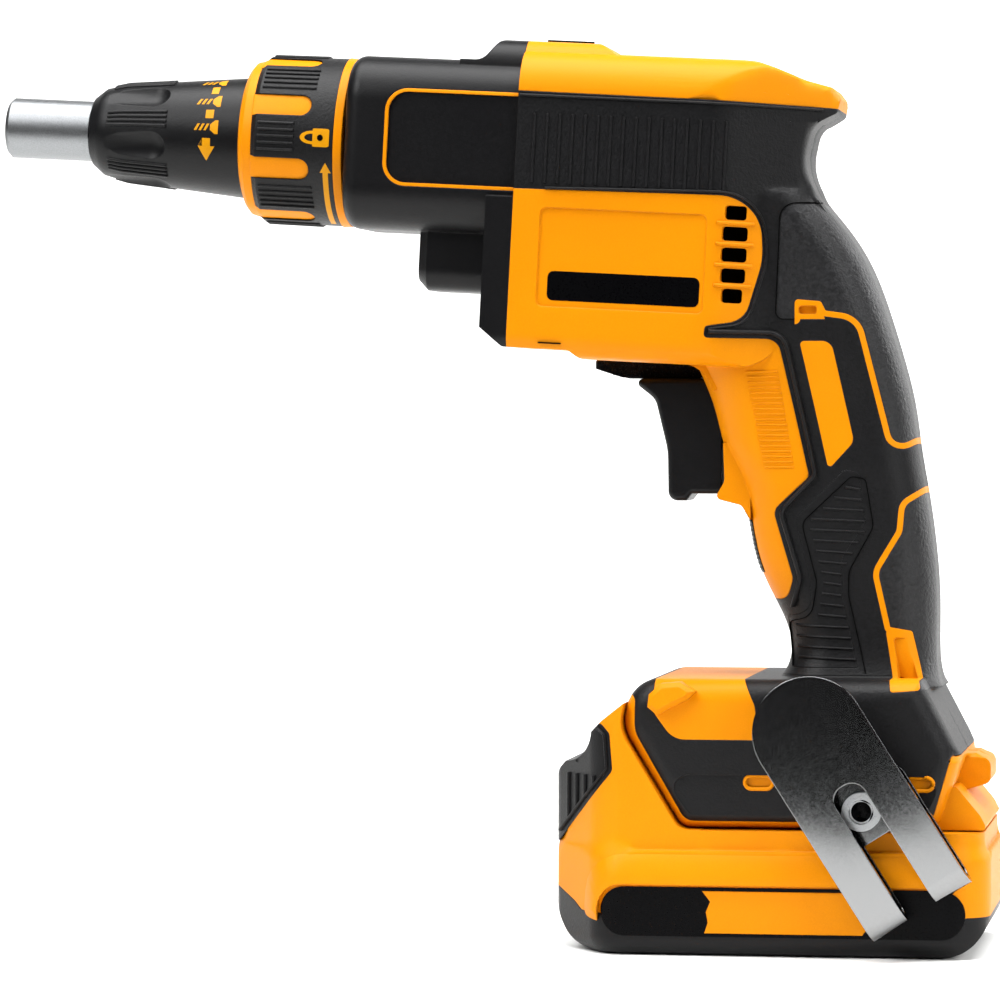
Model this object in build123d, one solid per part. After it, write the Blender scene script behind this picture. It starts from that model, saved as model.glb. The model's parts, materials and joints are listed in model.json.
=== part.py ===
from build123d import *
import math
import os

os.makedirs("parts", exist_ok=True)

# Frame: millimetres, origin at the centre of the battery's flat bottom, +X to the rear, +Z up.
# The nose, gear train and motor are drawn level in a head frame and then tilted as one.

# Driving sizes: where the head stands
head_tilt = 3.0  # nose-up tilt of the head against the battery's base, degrees
axis_x = -113.5  # the spindle axis meets the gear case's front face here
axis_z = 210.3

# Driving sizes: running fits and gaps
run_gap = 0.05  # radial clearance of a shaft in its bearing or bush
slide_gap = 0.3  # clearance of a sliding or hand-turned piece

# Driving sizes: walls
wall = 3.0  # moulded housing wall
skin = 1.4  # depth of the soft overmould in that wall

# Driving sizes: nose, distances forward of the gear case's front face
tip_reach = 95.0  # nosepiece end
tip_radius = 8.0
tip_land = 22.0  # bright full-size length of the nosepiece ahead of the depth sleeve
tip_relief = 0.4  # the rest is this much smaller in radius
tip_mouth = 5.4  # radius of the mouth round the bit
tip_bore = 6.6  # radius of the bore behind the mouth
mouth_length = 24.0
cone_front = 71.5  # depth sleeve's front edge
cone_front_radius = 11.6
cone_rear = 27.4
cone_rear_radius = 16.2
cone_chamfer = 3.0
journal_radius = 14.0  # depth sleeve's rear journal inside the lock collar
carrier_wall = 1.6  # fixed tube between nosepiece and depth sleeve
carrier_reach = 58.0
carrier_flange = 4.0
collar_front = 29.4
collar_gap = 0.7  # lock collar to gear case
collar_front_radius = 16.9
collar_radius = 22.2
collar_shoulder = 4.2  # length of the rounded yellow shoulder
collar_ring = 2.2  # width of the yellow rear ring
grip_depth = 1.4  # black grip over the yellow collar
finger_count = 8
finger_width = 5.9
finger_length = 20.0
push_travel = 4.0  # spindle travel that closes the clutch

# Driving sizes: spindle and bit
bit_flats = 6.35  # hex drive across flats
bit_reach = 92.5  # bit's point
bit_tail = 24.0  # the bit's rear end in its holder
holder_radius = 6.0
holder_front = 42.0
holder_rear = 6.5
spindle_nose = 3.5  # radius of the stub in the bit holder
spindle_radius = 5.0
tail_radius = 4.0
clutch_radius = 9.0
clutch_start = 14.6
clutch_length = 2.4
race_length = 1.0
bush_radius = 10.0
bush_length = 9.0

# Driving sizes: gears
gear_module = 0.75
pinion_teeth = 13
gear_teeth = 52
tooth_height = 0.75  # addendum in modules
tooth_root = 1.1  # dedendum in modules
backlash = 0.12
pressure_angle = 20.0
gear_start = 27.0
gear_width = 10.0
pinion_over = 1.0  # pinion overhang past each gear face
hub_radius = 7.0
hub_bearing_radius = 11.0

# Driving sizes: motor, distances behind the gear case's front face
joint_place = 46.0  # gear case meets the housing here
plate_thickness = 4.0
shaft_radius = 2.5
motor_bearing_radius = 6.5
rotor_radius = 9.6
air_gap = 0.6
stator_radius = 19.0
stator_start = 56.0
stator_length = 28.0
stator_yoke = 3.4
tooth_width = 5.0
stator_poles = 6
coil_width = 9.0
coil_depth = 3.6
coil_end = 3.2
coil_gap = 1.0  # winding to yoke
coil_round = 1.0
board_thickness = 1.6
fan_start = 94.0
fan_length = 9.0
fan_radius = 17.4
fan_hub = 6.0
fan_blades = 9
fan_sheet = 1.2
rear_bearing_start = 106.0
bearing_length = 4.0

# Driving sizes: gear case
case_half = 25.0
case_top = 22.4
case_bottom = 23.0
case_corner = 12.0
case_wall = 2.0
case_front_round = 4.0
chamber_start = 13.9
flange_start = 38.8
bump_start = 19.8
bump_bottom = 38.2
bump_half = 15.0
trim_width = 0.9
trim_depth = 0.8
panel_front = 11.0
panel_top = 13.8
panel_bottom = 11.6
panel_corner = 6.0
panel_recess = 0.8

# Driving sizes: head of the housing
head_half = 26.0
head_top = 25.3
head_bottom = 54.2
head_step = 2.2  # the head's underside is this much higher ahead of the lever
head_top_round = 11.0
head_bottom_round = 6.0
crown_top = 28.2
crown_half = 19.0
crown_end = 69.2
crown_round = 8.0
ear_start = 37.0

# Driving sizes: grip, one section a row: height, front, rear and half width
grip_corner = 11.5
grip_sections = [
    (68.0, -3.0, 42.0, 22.0),
    (76.0, 2.2, 40.2, 18.0),
    (86.0, 0.2, 40.2, 17.0),
    (98.0, -5.6, 39.8, 16.8),
    (112.0, -8.8, 38.2, 17.0),
    (130.0, -15.4, 35.2, 17.4),
    (148.0, -21.0, 32.0, 18.2),
    (162.0, -26.0, 27.8, 19.4),
    (178.0, -26.0, 21.6, 20.0),
    (187.0, -26.0, 15.8, 20.6),
    (196.5, -26.0, 8.4, 21.0),
]

# Driving sizes: foot and battery
foot_half = 35.0
foot_top = 70.6
foot_bottom = 32.4
foot_round = 6.0
battery_half = 37.5
battery_front = -58.3
battery_rear = 55.5
battery_bow = 14.0  # how far the front corners are cut back
battery_bow_half = 15.0
battery_corner = 11.0
battery_split = 10.6  # seam between the shells along the sides
battery_front_split = 15.6  # the same seam round the front
battery_belt = 27.0
battery_top = 32.0
battery_shoulder = 1.6
battery_wall = 2.4
battery_base_round = 4.6
base_front_round = 13.0  # rounding of the base's ends in side view
base_rear_round = 13.0
nose_block_top = 64.6
neck_half = 24.0
flange_half = 28.0
tower_top = 50.0
tower_rear = 36.0
cell_radius = 9.15
cell_length = 65.0
cell_count = 5
cell_pitch = 18.7
latch_half = 13.0
latch_travel = 2.4
latch_thickness = 3.4

# Driving sizes: trigger and lever
trigger_half = 8.6
trigger_travel = 6.0
trigger_rear = -16.0
stem_radius = 2.4
switch_half = 10.0
switch_bottom = 118.5
switch_top = 147.8
switch_front = -9.4
switch_rear = 13.0
lever_pivot_x = -20.0
lever_reach = 30.0
lever_half = 4.2
lever_height = 4.8
lever_pin = 1.5
lever_swing = 12.0  # degrees to each side
lever_taper = 2.4  # how much thinner the tip is

# Driving sizes: belt hook
hook_x = 23.5
hook_z = 37.8
hook_lean = 32.4  # slant of the hook from upright, degrees
hook_width = 29.0
hook_sheet = 1.8
hook_gap = 6.2
hook_up = 38.2  # screw to rounded free end
hook_down = 29.6  # screw to bend
hook_slot = 8.6
hook_slot_top = 8.0
hook_boss = 38.3  # half width over the two hook bosses
hook_boss_radius = 8.6
hook_screw_radius = 2.0
hook_head_radius = 4.9
hook_head_height = 3.4
hook_socket = 2.6

# Driving sizes: small fasteners
screw_radius = 1.5
screw_head = 3.0
screw_head_height = 2.4
screw_depth = 24.0
boss_radius = 3.8

# Driving sizes: small shapes of the nose and gears
tip_rim = 1.0
cone_step = 1.4
scoop_radius = 6.5
scoop_depth = 1.0
scoop_length = 17.0
scoop_count = 6
scoop_turn = 15.0  # first scoop below the left side's level, degrees
finger_turn = 22.5  # first collar finger below the left side's level, degrees
finger_rise = 0.8
bit_point = 6.0
nose_length = 8.0
gear_rim = 3.0
gear_dish = 3.0
lens_half = 5.0
lens_depth = 2.6
lens_height = 6.6
screw_socket = 1.6
socket_depth = 1.4
case_boss_length = 6.0

# Driving sizes: switch bracket and lever tip
bracket_thickness = 1.6
bracket_reach = 3.4
bracket_half = 5.0
lever_tip_half = 5.2
lever_round = 0.9
finger_round = 1.4

# Driving sizes: battery contacts, latch and label
blade_places = (-15.0, -5.0, 5.0, 15.0)
blade_front = 8.0
blade_rear = 26.0
blade_low = 43.0
contact_thickness = 0.8
slot_half = 2.4
clip_gap = 0.5
clip_thickness = 0.7
clip_length = 8.0
clip_height = 4.0
nose_slope_low = 45.5
nose_slope_x = -44.2
nose_slope_high = 59.6
nose_rear = -18.0
latch_top = 57.4
latch_scoop = 9.0  # radius of the thumb scoop
latch_scoop_depth = 2.2
bezel_depth = 3.0  # black front bezel round the button
bezel_low = 27.4
bezel_top = 59.0
label_proud = 0.3
label_front = -44.0
label_rear = 49.5
label_low = 5.0
label_high = 17.6
cell_shift = 3.6
battery_screw_seat = 4.0
battery_screw_reach = 8.0

# Driving sizes: what the housing holds and shows
rib_thickness = 3.0
rib_root = 0.4  # how far a rib runs into the wall
line_width = 1.5  # yellow line showing round each rear pad
vent_place = 103.8
vent_height = 3.7
vent_corner = 0.9
skirt_rear = 54.8
skirt_top = 43.4
skirt_half = 30.0
tab_top = 51.0
tab_half = 12.0
bit_block_proud = 3.2
bit_block_chamfer = 1.2
controller_low = (10.0, -10.5, 78.0)
controller_high = (31.0, 10.5, 108.0)
case_screw_places = [(11.0, -23.4), (-11.0, -23.4), (20.0, 33.0), (-20.0, 33.0)]  # side, drop

reach = 120.0  # longer than any cut needs

# Derived places
motor_drop = gear_module * (pinion_teeth + gear_teeth) / 2
gear_end = gear_start + gear_width
plate_start = joint_place - plate_thickness
stator_end = stator_start + stator_length
coil_start = stator_start - coil_end
coil_stop = stator_end + coil_end
fan_end = fan_start + fan_length
rear_bearing_end = rear_bearing_start + bearing_length
carrier_bore = tip_radius + slide_gap
carrier_radius = carrier_bore + carrier_wall
sleeve_bore = carrier_radius + slide_gap
collar_bore = journal_radius + slide_gap
flange_radius = sleeve_bore + carrier_wall
chamber_radius = case_top - case_wall
latch_bottom = battery_top
floor_top = foot_bottom + wall
terminal_low = (2.0, -20.0, tower_top + 0.8)
terminal_high = (33.0, 20.0, tower_top + 10.0)
trigger_low = switch_bottom - 0.8
lever_low = switch_top + slide_gap
lever_high = lever_low + lever_height
lever_sweep = lever_reach * math.sin(math.radians(lever_swing)) + lever_tip_half + slide_gap
slope_run = (nose_slope_x - battery_front) / (nose_slope_high - nose_slope_low)
head_place = Location((axis_x, 0, axis_z), (0, head_tilt, 0))


def outline(corners):
    """Closed face through (across, up, corner radius) corners."""
    points = [(across, up) for across, up, _ in corners]
    radii = [radius for _, _, radius in corners]
    return make_face(FilletPolyline(*points, radius=radii, close=True).edges())


def side_prism(face, low, high):
    """A side-view face carried through from one Y to another."""
    return Pos(0, high, 0) * extrude(Plane.XZ * face, amount=high - low)


def through(face, half=reach):
    """A side-view face carried through both sides of the middle plane."""
    return side_prism(face, -half, half)


def block(low, high):
    size = [b - a for a, b in zip(low, high)]
    middle = [(a + b) / 2 for a, b in zip(low, high)]
    return Pos(*middle) * Box(*size)


def rod(radius, start, end, drop=0.0, side=0.0):
    """Cylinder along the head's own X."""
    return Pos((start + end) / 2, side, -drop) * Rot(0, 90, 0) * Cylinder(radius, end - start)


def tube(outer, inner, start, end, drop=0.0):
    return rod(outer, start, end, drop) - rod(inner, start, end, drop)


def cross_rod(radius, x, z, low, high):
    """Cylinder along Y."""
    return Pos(x, (low + high) / 2, z) * Rot(90, 0, 0) * Cylinder(radius, high - low)


def turned(points):
    """A (place, radius) profile turned about the head's X."""
    return revolve(make_face((Plane.XZ * Polyline(*points, close=True)).edges()), Axis.X)


def polar(shape, count, start=0.0):
    """Copies of a shape round the head's X."""
    return [Rot(start + 360.0 * i / count, 0, 0) * shape for i in range(count)]


def merged(shapes):
    whole = shapes[0]
    for shape in shapes[1:]:
        whole = whole + shape
    return whole


def coil(radius, wire, turns, pitch):
    """Spring along +X from the origin, its end coils lying on the end planes."""
    path = Helix(pitch, pitch * turns, radius)
    ring = Plane(origin=path @ 0, z_dir=path % 0) * Circle(wire / 2)
    return Rot(0, 90, 0) * sweep(ring, path=path)


def save(name, *shapes):
    solids = [solid for shape in shapes for solid in shape.solids()]
    whole = solids[0] if len(solids) == 1 else Compound(solids)
    export_step(whole, f"parts/{name}.step")


# Outlines of the housing, all in side view


def head_outline():
    return outline([
        (joint_place - 20, -head_bottom + head_step, 0),
        (62.0, -head_bottom + head_step, 3),
        (65.0, -head_bottom, 3),
        (112.0, -head_bottom, 12),
        (133.0, -22.0, 0),
        (124.4, -10.5, 14),
        (119.7, -1.0, 14),
        (121.4, 9.0, 6),
        (127.6, 12.8, 1.5),
        (128.2, 16.8, 1.5),
        (126.0, 19.4, 2),
        (119.4, 20.8, 6),
        (106.5, head_top, 10),
        (joint_place - 20, head_top, 0),
    ])


def head_plan():
    return outline([
        (joint_place - 20, -head_half, 0),
        (98.0, -head_half, 24),
        (129.0, -13.0, 7),
        (129.0, 13.0, 7),
        (98.0, head_half, 24),
        (joint_place - 20, head_half, 0),
    ])


def head_section():
    return outline([
        (-head_half, -head_bottom, head_bottom_round),
        (head_half, -head_bottom, head_bottom_round),
        (head_half, head_top, head_top_round),
        (-head_half, head_top, head_top_round),
    ])


def crown_outline():
    return outline([
        (joint_place - 20, 0, 0),
        (crown_end + 6, 0, 0),
        (crown_end + 1, head_top - 0.4, 0),
        (crown_end - 4, crown_top, 4),
        (joint_place - 20, crown_top, 0),
    ])


def crown_section():
    return outline([
        (-crown_half, 0, 0),
        (crown_half, 0, 0),
        (crown_half, crown_top, crown_round),
        (-crown_half, crown_top, crown_round),
    ])


def foot_outline():
    return outline([
        (-36.6, foot_top, 9),
        (-39.0, 58.0, 9),
        (-23.6, foot_bottom, 4),
        (42.0, foot_bottom, 5),
        (48.2, 51.0, 4),
        (39.8, 67.0, 8),
        (37.6, foot_top, 0),
    ])


def shrunk(face, inset):
    return face if inset == 0 else offset(face, -inset)


def head_body(inset):
    side = through(shrunk(head_outline(), inset))
    plan = Pos(0, 0, -reach) * extrude(shrunk(head_plan(), inset), amount=2 * reach)
    section = extrude(Plane.YZ * shrunk(head_section(), inset), amount=2 * reach)
    crown = through(shrunk(crown_outline(), inset))
    crown = crown & extrude(Plane.YZ * shrunk(crown_section(), inset), amount=2 * reach)
    whole = (side & plan & section) + crown
    return head_place * (whole & block((joint_place, -reach, -reach), (2 * reach, reach, reach)))


def grip_body(inset):
    sections = []
    for height, front, rear, half in grip_sections:
        shape = RectangleRounded(rear - front - 2 * inset, 2 * (half - inset), grip_corner - inset)
        sections.append(Pos((front + rear) / 2, 0, height) * shape)
    return loft(sections)


def foot_body(inset):
    whole = through(shrunk(foot_outline(), inset), foot_half - inset)
    top_edges = whole.edges().filter_by(Axis.X).filter_by(lambda edge: edge.center().Z > foot_top - inset - 1)
    return fillet(top_edges, foot_round - inset)


def body(inset):
    return head_body(inset) + grip_body(inset) + foot_body(inset)


# Panels of the left side, in side view


def in_head(across, up):
    """Side-view place of a head-frame point."""
    tilt = math.radians(head_tilt)
    x = axis_x + across * math.cos(tilt) + up * math.sin(tilt)
    z = axis_z - across * math.sin(tilt) + up * math.cos(tilt)
    return x, z


def overmould_outline():
    strip_top = panel_top + 0.6
    strip_low = -panel_bottom + 0.6
    return [
        (*in_head(joint_place - 4, strip_top), 0),
        (*in_head(135.0, strip_top - 0.6), 0),
        (75.0, 215.0, 0),
        (75.0, 71.0, 0),
        (-20.0, 71.0, 0),
        (-20.0, 90.6, 0),
        (2.0, 90.6, 3),
        (3.6, 96.0, 4),
        (-1.6, 113.6, 3),
        (7.8, 122.4, 2),
        (-0.2, 157.9, 4),
        (-18.8, 158.2, 1),
        (-18.4, 161.2, 1),
        (-8.6, 162.6, 6),
        (-4.0, 178.0, 20),
        (-4.4, 194.4, 11),
        (*in_head(joint_place - 4, strip_low), 0),
    ]


def upper_pad_outline():
    return [
        (32.0, 193.0, 0),
        (0.8, 192.8, 4),
        (-0.6, 163.2, 2),
        (4.2, 163.2, 0),
        (4.2, 168.2, 1),
        (11.0, 167.6, 1),
        (12.2, 165.2, 0.5),
        (21.0, 164.0, 7),
        (29.6, 129.6, 3),
        (36.0, 133.0, 0),
        (60.0, 133.0, 0),
        (60.0, 193.0, 0),
    ]


def lower_pad_outline():
    return [
        (60.0, 118.6, 0),
        (38.0, 118.6, 0),
        (32.4, 115.0, 3),
        (31.8, 108.0, 4),
        (25.6, 97.6, 4),
        (28.8, 83.6, 0),
        (34.4, 82.6, 1),
        (37.8, 68.2, 0),
        (60.0, 68.2, 0),
    ]


def palm_pad_outline():
    return [
        (17.0, 124.2, 1.5),
        (20.6, 123.4, 1.5),
        (22.4, 110.6, 3),
        (16.2, 101.4, 5),
        (16.2, 92.0, 6),
        (20.4, 73.0, 0),
        (3.4, 73.0, 0),
        (2.0, 86.2, 1),
        (8.6, 87.6, 4),
        (7.8, 97.0, 8),
        (4.2, 111.6, 3),
    ]


def name_plate_outline():
    return [
        (5.4, 157.4, 1),
        (13.6, 157.4, 3),
        (19.4, 131.4, 3),
        (12.8, 124.2, 0.8),
    ]


def foot_cover_outline():
    return [
        (-60.0, 66.6, 0),
        (-35.4, 66.6, 2),
        (-35.4, 57.0, 8),
        (-22.4, 34.3, 4),
        (40.6, 34.3, 4),
        (45.6, 51.4, 1.5),
        (60.0, 52.0, 0),
        (60.0, 70.6, 0),
        (-60.0, 76.6, 0),
    ]


def foot_inset_outline():
    return [
        (-30.4, 82.0, 0),
        (-30.4, 62.0, 3),
        (-25.4, 55.2, 6),
        (-3.6, 55.2, 1.5),
        (-4.4, 64.0, 4),
        (-9.0, 74.0, 0),
        (-9.0, 82.0, 0),
    ]


def lower_block_outline():
    return [
        (27.6, 82.8, 0.8),
        (34.4, 82.6, 0.8),
        (37.8, 68.2, 0.8),
        (30.2, 67.6, 0.8),
    ]


def upper_block_outline():
    return [
        (4.2, 163.0, 0),
        (4.2, 168.2, 1),
        (11.0, 167.6, 1),
        (12.0, 163.0, 0),
    ]


def slot_face(x, z, length, height):
    return Pos(x, z) * SlotOverall(length, height)


vent_rows = [(-14.6, 5.4), (-20.0, 6.4), (-25.4, 6.4), (-30.8, 6.2), (-36.0, 5.2)]  # drop, length

# Housing screws: side-view place and the Y at which the head seats on the right half
screw_places = [
    (*in_head(53.0, 20.0), 14.0),
    (*in_head(112.0, 12.0), 12.0),
    (*in_head(50.4, -46.6), 19.0),
    (21.0, 163.0, 13.0),
    (25.5, 116.0, 11.0),
    (-29.5, 62.0, 28.0),
    (37.2, 60.5, 26.0),
]
left_half = block((-2 * reach, -reach, -reach), (2 * reach, 0, 3 * reach))
right_half = block((-2 * reach, 0, -reach), (2 * reach, reach, 3 * reach))

# Nose: nosepiece sliding in a fixed carrier, depth sleeve turning round it, lock collar behind

tip_rear = holder_front + 2.0
nosepiece = turned([
    (-tip_reach, tip_mouth + tip_rim),
    (-tip_reach, tip_radius - tip_rim),
    (-tip_reach + tip_rim, tip_radius),
    (-tip_reach + tip_rim + tip_land, tip_radius),
    (-tip_reach + tip_rim + tip_land, tip_radius - tip_relief),
    (-tip_rear, tip_radius - tip_relief),
    (-tip_rear, tip_bore),
    (-tip_reach + mouth_length, tip_bore),
    (-tip_reach + mouth_length, tip_mouth),
    (-tip_reach + tip_rim, tip_mouth),
])
save("nosepiece_tip", head_place * nosepiece)

carrier = tube(carrier_radius, carrier_bore, -carrier_reach, 0)
carrier = carrier + tube(flange_radius, carrier_bore, -carrier_flange, 0)
save("nose_carrier", head_place * carrier)

bore_step = carrier_reach + 2.0
journal_rear = carrier_flange + 5.0
sleeve = turned([
    (-cone_front, tip_radius + slide_gap),
    (-cone_front, cone_front_radius - cone_chamfer + 0.6),
    (-cone_front + cone_chamfer, cone_front_radius),
    (-cone_front + 3 * cone_chamfer, cone_front_radius + cone_step),
    (-cone_rear, cone_rear_radius),
    (-cone_rear, journal_radius),
    (-journal_rear, journal_radius),
    (-journal_rear, sleeve_bore),
    (-bore_step, sleeve_bore),
    (-bore_step, tip_radius + slide_gap),
])
scoop_out = cone_front_radius + cone_step + scoop_radius - scoop_depth
scoop_end = cone_front - scoop_length
scoop = rod(scoop_radius, -cone_front - scoop_radius, -scoop_end)
scoop = scoop + Pos(-scoop_end, 0, 0) * Sphere(scoop_radius)
scoops = merged(polar(Pos(0, -scoop_out, 0) * scoop, scoop_count, scoop_turn))
save("depth_sleeve", head_place * (sleeve - scoops))

base_radius = collar_radius - grip_depth
collar_rear = collar_gap
shoulder_end = collar_front - collar_shoulder
shoulder_rise = base_radius - collar_front_radius
collar = turned([
    (-collar_front, cone_rear_radius + slide_gap),
    (-collar_front, collar_front_radius),
    (-collar_front + 0.18 * collar_shoulder, collar_front_radius + 0.5 * shoulder_rise),
    (-collar_front + 0.45 * collar_shoulder, collar_front_radius + 0.85 * shoulder_rise),
    (-shoulder_end, base_radius),
    (-collar_rear - collar_ring, base_radius),
    (-collar_rear - collar_ring, collar_radius + 0.2),
    (-collar_rear, collar_radius),
    (-collar_rear, collar_bore),
    (-cone_rear + slide_gap, collar_bore),
    (-cone_rear + slide_gap, cone_rear_radius + slide_gap),
])
band_rear = collar_rear + collar_ring
band = turned([
    (-shoulder_end, base_radius),
    (-shoulder_end + grip_depth, collar_radius - 0.2),
    (-band_rear, collar_radius),
    (-band_rear, base_radius),
])
finger_end = collar_front - finger_length + finger_width / 2
finger_face = Pos((-collar_front - finger_end) / 2, 0) * Rectangle(collar_front - finger_end, finger_width)
finger_face = finger_face + Pos(-finger_end, 0) * Circle(finger_width / 2)
finger = side_prism(finger_face, -collar_radius - 2, -base_radius + 3)
fingers = merged(polar(finger, finger_count, finger_turn))
inlay = turned([
    (-shoulder_end, base_radius),
    (-shoulder_end, base_radius + 0.3),
    (-shoulder_end + grip_depth, base_radius + finger_rise),
    (-band_rear, base_radius + finger_rise),
    (-band_rear, base_radius),
])
save("lock_collar", head_place * (collar + (inlay & fingers)))
save("lock_collar_grip", head_place * (band - fingers))

# Spindle train: bit, holder, spindle, sprung clutch and gear

hexagon = RegularPolygon(bit_flats / 2, 6, major_radius=False)
bit_shank = extrude(Plane.YZ * hexagon, amount=bit_reach - bit_point - bit_tail)
bit = Pos(-bit_reach + bit_point, 0, 0) * bit_shank
bit = bit + turned([
    (-bit_reach, 0),
    (-bit_reach, 0.8),
    (-bit_reach + bit_point / 3, bit_flats / 2 - 0.9),
    (-bit_reach + bit_point, bit_flats / 2 - 0.3),
    (-bit_reach + bit_point, 0),
])
point_cut = Pos(-bit_reach, bit_flats / 2, bit_flats / 2) * Box(bit_point, bit_flats - 1.2, bit_flats - 1.2)
bit = bit - merged(polar(point_cut, 4))
save("screw_bit", head_place * bit)

holder_hex = RegularPolygon(bit_flats / 2 + run_gap, 6, major_radius=False)
holder_hole = Pos(-holder_front, 0, 0) * extrude(Plane.YZ * holder_hex, amount=holder_front - bit_tail)
holder = rod(holder_radius, -holder_front, -holder_rear) - holder_hole
holder = holder - rod(spindle_nose, -holder_rear - nose_length, -holder_rear)
save("bit_holder", head_place * holder)

race_start = clutch_start + clutch_length + run_gap
race_end = race_start + race_length
tail_end = joint_place - push_travel - 0.6
spindle = rod(spindle_nose, -holder_rear - nose_length, -holder_rear)
spindle = spindle + rod(spindle_radius, -holder_rear, race_end + 2)
spindle = spindle + rod(clutch_radius, clutch_start, clutch_start + clutch_length)
spindle = spindle + rod(tail_radius, race_end, tail_end)
save("spindle", head_place * spindle)
save("thrust_race", head_place * tube(clutch_radius, spindle_radius + run_gap, race_start, race_end))

spring_wire = 1.2
spring_room = gear_start - race_end - push_travel
spring_turns = 2
spring_pitch = (spring_room - spring_wire - 0.4) / spring_turns
clutch_coil = coil(clutch_radius - spring_wire, spring_wire, spring_turns, spring_pitch)
save("clutch_spring", head_place * (Pos(race_end + spring_wire / 2, 0, 0) * clutch_coil))

bush_start = chamber_start - bush_length
save("spindle_bush", head_place * tube(bush_radius, spindle_radius + run_gap, bush_start, chamber_start))


def toothed(teeth, turn):
    """Involute wheel face in the head's cross plane, a tooth centred on the turn angle."""
    pitch_radius = gear_module * teeth / 2
    base = pitch_radius * math.cos(math.radians(pressure_angle))
    tip = pitch_radius + tooth_height * gear_module
    root = pitch_radius - tooth_root * gear_module
    half = (math.pi * gear_module - backlash) / 4 / pitch_radius

    def spread(radius):
        angle = math.acos(min(1.0, base / radius))
        return math.tan(angle) - angle

    low = max(base, root)
    flank = []
    for i in range(5):
        radius = low + (tip - low) * i / 4
        flank.append((radius, half + spread(pitch_radius) - spread(radius)))
    if root < low:
        flank.insert(0, (root, flank[0][1]))
    points = []
    for tooth in range(teeth):
        centre = math.radians(turn) + 2 * math.pi * tooth / teeth
        for radius, angle in flank:
            points.append((radius * math.cos(centre - angle), radius * math.sin(centre - angle)))
        for radius, angle in reversed(flank):
            points.append((radius * math.cos(centre + angle), radius * math.sin(centre + angle)))
    return make_face(Polyline(*points, close=True).edges())


gear = Pos(gear_start, 0, 0) * extrude(Plane.YZ * toothed(gear_teeth, -90.0), amount=gear_width)
hub_end = joint_place - 0.4
gear = gear + rod(hub_radius - run_gap, gear_end, hub_end)
gear = gear - rod(tail_radius + run_gap, gear_start, hub_end)
dish_radius = gear_module * gear_teeth / 2 - gear_rim
gear = gear - tube(dish_radius, hub_radius + gear_rim, gear_end - gear_dish, gear_end)
save("driven_gear", head_place * gear)
save("gear_bearing", head_place * tube(hub_bearing_radius, hub_radius, plate_start, joint_place))

# Motor: rotor with pinion and fan, wound stator, sensor board and two bearings

pinion_start = gear_start - pinion_over
pinion_end = gear_end + pinion_over
pinion_face = Plane.YZ * toothed(pinion_teeth, 90.0 + 180.0 / pinion_teeth)
pinion = Pos(pinion_start, 0, -motor_drop) * extrude(pinion_face, amount=pinion_end - pinion_start)
pinion = pinion - rod(shaft_radius, pinion_start, pinion_end, motor_drop)
save("motor_pinion", head_place * pinion)
save("rotor_shaft", head_place * rod(shaft_radius, pinion_start - 2, rear_bearing_end - 0.4, motor_drop))
save("rotor_core", head_place * tube(rotor_radius, shaft_radius, stator_start, stator_end, motor_drop))
fit_bore = shaft_radius + run_gap
front_bearing = tube(motor_bearing_radius, fit_bore, plate_start, joint_place, motor_drop)
save("motor_front_bearing", head_place * front_bearing)
rear_bearing = tube(motor_bearing_radius, fit_bore, rear_bearing_start, rear_bearing_end, motor_drop)
save("motor_rear_bearing", head_place * rear_bearing)

pole_inner = rotor_radius + air_gap
pole = block(
    (stator_start, -tooth_width / 2, pole_inner),
    (stator_end, tooth_width / 2, stator_radius - stator_yoke / 2),
)
poles = merged(polar(pole, stator_poles)) - rod(pole_inner, stator_start, stator_end)
stator = tube(stator_radius, stator_radius - stator_yoke, stator_start, stator_end) + poles
save("stator_core", head_place * (Pos(0, 0, -motor_drop) * stator))
coil_low = stator_radius - stator_yoke - coil_depth - coil_gap
winding = block((coil_start, -coil_width / 2, coil_low), (coil_stop, coil_width / 2, coil_low + coil_depth))
winding = fillet(winding.edges().filter_by(Axis.Z), coil_round)
winding = winding - block((stator_start, -tooth_width / 2, 0), (stator_end, tooth_width / 2, stator_radius))
windings = [head_place * (Pos(0, 0, -motor_drop) * each) for each in polar(winding, stator_poles)]
save("stator_windings", *windings)
board = tube(stator_radius - 0.6, shaft_radius + 2.5, coil_stop, coil_stop + board_thickness, motor_drop)
save("sensor_board", head_place * board)

fan = tube(fan_hub, shaft_radius, fan_start, fan_end)
fan = fan + tube(fan_radius, shaft_radius, fan_start, fan_start + 1.4)
blade = block((fan_start, -fan_sheet / 2, fan_hub - 1), (fan_end, fan_sheet / 2, fan_radius))
fan = fan + merged(polar(blade, fan_blades))
save("cooling_fan", head_place * (Pos(0, 0, -motor_drop) * fan))

# Gear case with its bearing plate, light and screws


def case_face(half, low, high, corner):
    return outline([(-half, low, corner), (half, low, corner), (half, high, corner), (-half, high, corner)])


def along(face, start, end):
    """A cross-section face carried along the head's X."""
    return Pos(start, 0, 0) * extrude(Plane.YZ * face, amount=end - start)


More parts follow.
